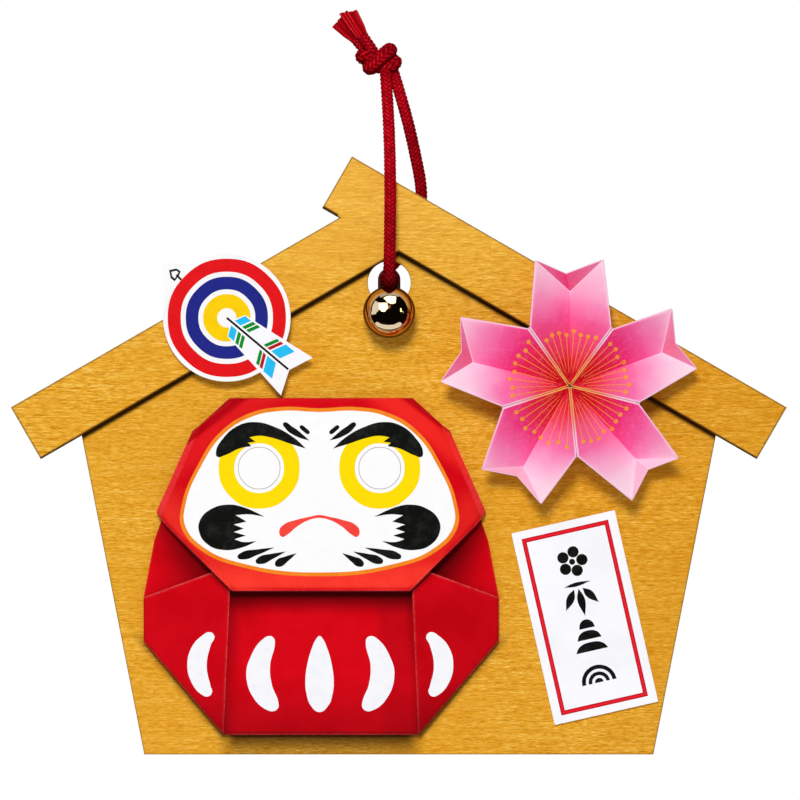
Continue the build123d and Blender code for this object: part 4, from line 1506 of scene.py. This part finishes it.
# Each card by its tint, its brightness and the outline of its reflection, in shares of the bell's radius
WHITE_CARD = ((0.4, 0.6, 1.0, 1.0), 12.0)
CREAM_CARD = ((0.31, 0.48, 1.0, 1.0), 4.6)
DIM_CARD = ((0.33, 0.5, 1.0, 1.0), 2.6)
LIGHT_CARDS = [
    (*WHITE_CARD, [(-0.21, 0.52, CORNER), (-0.04, 0.60), (0.26, 0.57, CORNER), (0.24, 0.34, CORNER),
                   (0.1, 0.3), (-0.06, 0.36, CORNER)]),
    (*WHITE_CARD, [(-0.38, 0.34, CORNER), (-0.07, 0.34, CORNER), (-0.06, 0.12, CORNER), (-0.2, 0.0, CORNER),
                   (-0.38, 0.1, CORNER)]),
    (*CREAM_CARD, [(-0.62, 0.25, CORNER), (-0.52, 0.42, CORNER), (-0.37, 0.34, CORNER), (-0.37, 0.12, CORNER),
                   (-0.5, -0.08, CORNER), (-0.68, -0.1, CORNER)]),
    (*DIM_CARD, [(-0.34, 0.56), (-0.02, 0.69), (0.36, 0.58), (0.26, 0.6), (-0.05, 0.64), (-0.22, 0.58)]),
    (*CREAM_CARD, [(-0.52, -0.40), (-0.24, -0.47), (0.14, -0.48), (0.46, -0.41), (0.46, -0.50), (0.30, -0.60),
                   (-0.05, -0.66), (-0.34, -0.59), (-0.50, -0.48)]),
    (*WHITE_CARD, [(0.44, 0.14), (0.47, 0.06), (0.55, -0.02), (0.47, 0.0), (0.42, 0.06)]),
]


def mirror_only(name, mesh, colour, strength):
    """A stage panel of one brightness that shows in reflections and nowhere else."""
    material = bpy.data.materials.new(name)
    material.use_nodes = True
    tree = material.node_tree
    tree.nodes.clear()
    glow = tree.nodes.new("ShaderNodeEmission")
    glow.inputs["Color"].default_value = colour
    glow.inputs["Strength"].default_value = strength
    output = tree.nodes.new("ShaderNodeOutputMaterial")
    tree.links.new(glow.outputs[0], output.inputs["Surface"])
    mesh.materials.append(material)
    panel = show(name, mesh)
    for rays in ("camera", "diffuse", "transmission", "shadow"):
        setattr(panel, "visible_" + rays, False)


def mirrored_direction(across, up):
    """Where the camera looks by way of a spot on the bell, given as shares of its radius."""
    facing = math.sqrt(1 - across**2 - up**2)
    return Vector((2 * facing * across, 1 - 2 * facing**2, 2 * facing * up))


def make_tent():
    tent = bmesh.new()
    around, upright = TENT_SEGMENTS
    bmesh.ops.create_uvsphere(tent, u_segments=around, v_segments=upright, radius=TENT_RADIUS)
    geometry = tent.verts[:] + tent.edges[:] + tent.faces[:]
    bmesh.ops.bisect_plane(tent, geom=geometry, plane_co=(0, 0, 0), plane_no=(0, 1, 0), clear_outer=True)
    bmesh.ops.translate(tent, vec=bell_centre / MM, verts=tent.verts)
    mirror_only("dark_tent", mesh_of(tent, "dark_tent"), TENT_COLOUR, 1.0)
    for number, (tint, strength, outline) in enumerate(LIGHT_CARDS, start=1):
        card = bmesh.new()
        card.from_mesh(outline_mesh(outline))
        grid_cut(card, CARD_GRID)
        for vert in card.verts:
            vert.co = mirrored_direction(vert.co.x, vert.co.z) * TENT_RADIUS * CARD_SHARE
        bmesh.ops.translate(card, vec=bell_centre / MM, verts=card.verts)
        name = f"light_card_{number}"
        mirror_only(name, mesh_of(card, name), tint, strength)


def make_dark_ring():
    """A dark ring close round the bell, which darkens the rim of its reflections."""
    centre = (bell_centre.x / MM, bell_centre.z / MM)
    inner, outer = (circle(radius, centre, DARK_RING_POINTS) for radius in DARK_RING_RADII)
    mesh = outline_mesh(outer, inner)
    mesh.transform(Matrix.Scale(MM, 4) @ Matrix.Translation((0, DARK_RING_PLACE, 0)))
    mirror_only("dark_ring", mesh, DARK_RING_COLOUR, 1.0)


def make_light(name, place, size, power):
    """A round soft lamp that looks at the middle of the object."""
    lamp = bpy.data.lights.new(name, "AREA")
    lamp.shape = "DISK"
    lamp.size = size * MM
    lamp.energy = power
    light = show(name, lamp)
    light.location = Vector(place) * MM
    aim = Vector((VIEW_CENTRE[0], 0, VIEW_CENTRE[1])) * MM
    light.rotation_euler = (aim - light.location).to_track_quat("-Z", "Y").to_euler()


def make_camera():
    view = bpy.data.cameras.new("camera")
    view.sensor_width = SENSOR
    view.lens = SENSOR * (VIEW_DISTANCE + VIEW_PLANE) / VIEW_WIDTH
    view.clip_end = VIEW_END * MM
    camera = show("camera", view)
    camera.location = Vector((VIEW_CENTRE[0], -VIEW_DISTANCE, VIEW_CENTRE[1])) * MM
    camera.rotation_euler = (math.radians(90), 0, 0)
    bpy.context.scene.camera = camera


# Each ink as the eye reads it, full and, for some, where it lies thin
INK_COLOURS = {
    "orange": [(243, 138, 36), (236, 122, 30)],
    "white": [(250, 250, 251), (247, 247, 249)],
    "mark": [(246, 247, 251), (240, 242, 248)],
    "yellow": [(252, 220, 4), (250, 216, 4)],
    "grey": [(176, 160, 160)],
    "coral": [(246, 74, 64), (238, 62, 56)],
    "black": [(15, 16, 12), (33, 34, 30)],
    "target_red": [(226, 22, 26)],
    "target_blue": [(34, 40, 132)],
    "target_yellow": [(251, 206, 6)],
    "card_white": [(247, 246, 249), (244, 243, 247)],
    "sky": [(40, 188, 240)],
    "green": [(16, 140, 40)],
    "crimson": [(190, 18, 34)],
    "frame_red": [(230, 32, 46)],
    "dark_red": [(184, 8, 24)],
    "stamen": [(248, 156, 66)],
}

# Build

bpy.context.scene.view_settings.view_transform = "Standard"
make_camera()
make_world()
make_floor()
make_light("key", KEY_PLACE, KEY_SIZE, KEY_POWER)
make_light("back", BACK_PLACE, BACK_SIZE, BACK_POWER)
make_tent()
make_dark_ring()

brass = brass_finish("bell_brass", srgb(192, 142, 82), 0.03)
cad_finishes = {
    "board": gilt_finish("board_gilt", board_front, BOARD_FOOT_SPAN, BOARD_FOOT_SHADE, DOLL_BASE_SHADE),
    "roof": gilt_finish("roof_gilt", roof_front, ROOF_FOOT_SPAN, ROOF_FOOT_SHADE, 0.0),
    "bell_upper_shell": brass,
    "bell_lower_shell": brass,
    # Painted shade: the eye's brass is dark for the shade it hangs in
    "bell_eye": brass_finish("eye_brass_painted_shade", srgb(46, 20, 9), 0.3),
    "bell_pea": steel_finish(),
    "target_card": card_finish("target_card", srgb(248, 247, 248)),
    "talisman_card": card_finish("talisman_card", srgb(249, 250, 255)),
    "talisman_tape": tape_finish(),
}
for node, finish in cad_finishes.items():
    paint(node, finish)

red_yarn = cord_finish()
red_fibres = fibre_finish()
cord, cord_line = make_cord(red_yarn)
knot = make_knot(red_yarn)
tails = []
for seed, node in enumerate(tail_lines, start=5):
    tails += make_tail(node, red_yarn, red_fibres, seed)

inks = {name: ink_finish(name, *colours) for name, colours in INK_COLOURS.items()}
doll = make_doll(doll_finish())
print_face(doll, inks)
print_marks(doll, inks)

petal_paper = petal_finish()
next_seams = SEAM_ANGLES[1:] + (SEAM_ANGLES[0] + 360,)
petals = zip(SEAM_ANGLES, next_seams, PETAL_ANGLES, TIP_SPREADS, TIP_RADII)
for number, (first, last, middle, spread, reach) in enumerate(petals, start=1):
    petal = make_petal(number, first, last, middle, spread, reach, petal_paper)
    print_stamens(number, first, last, petal, inks["stamen"])

print_target(inks)
print_talisman(inks)

foam = foam_finish()
for node in ("flower_pad", "target_pad", "doll_pad"):
    make_pad(node, foam)
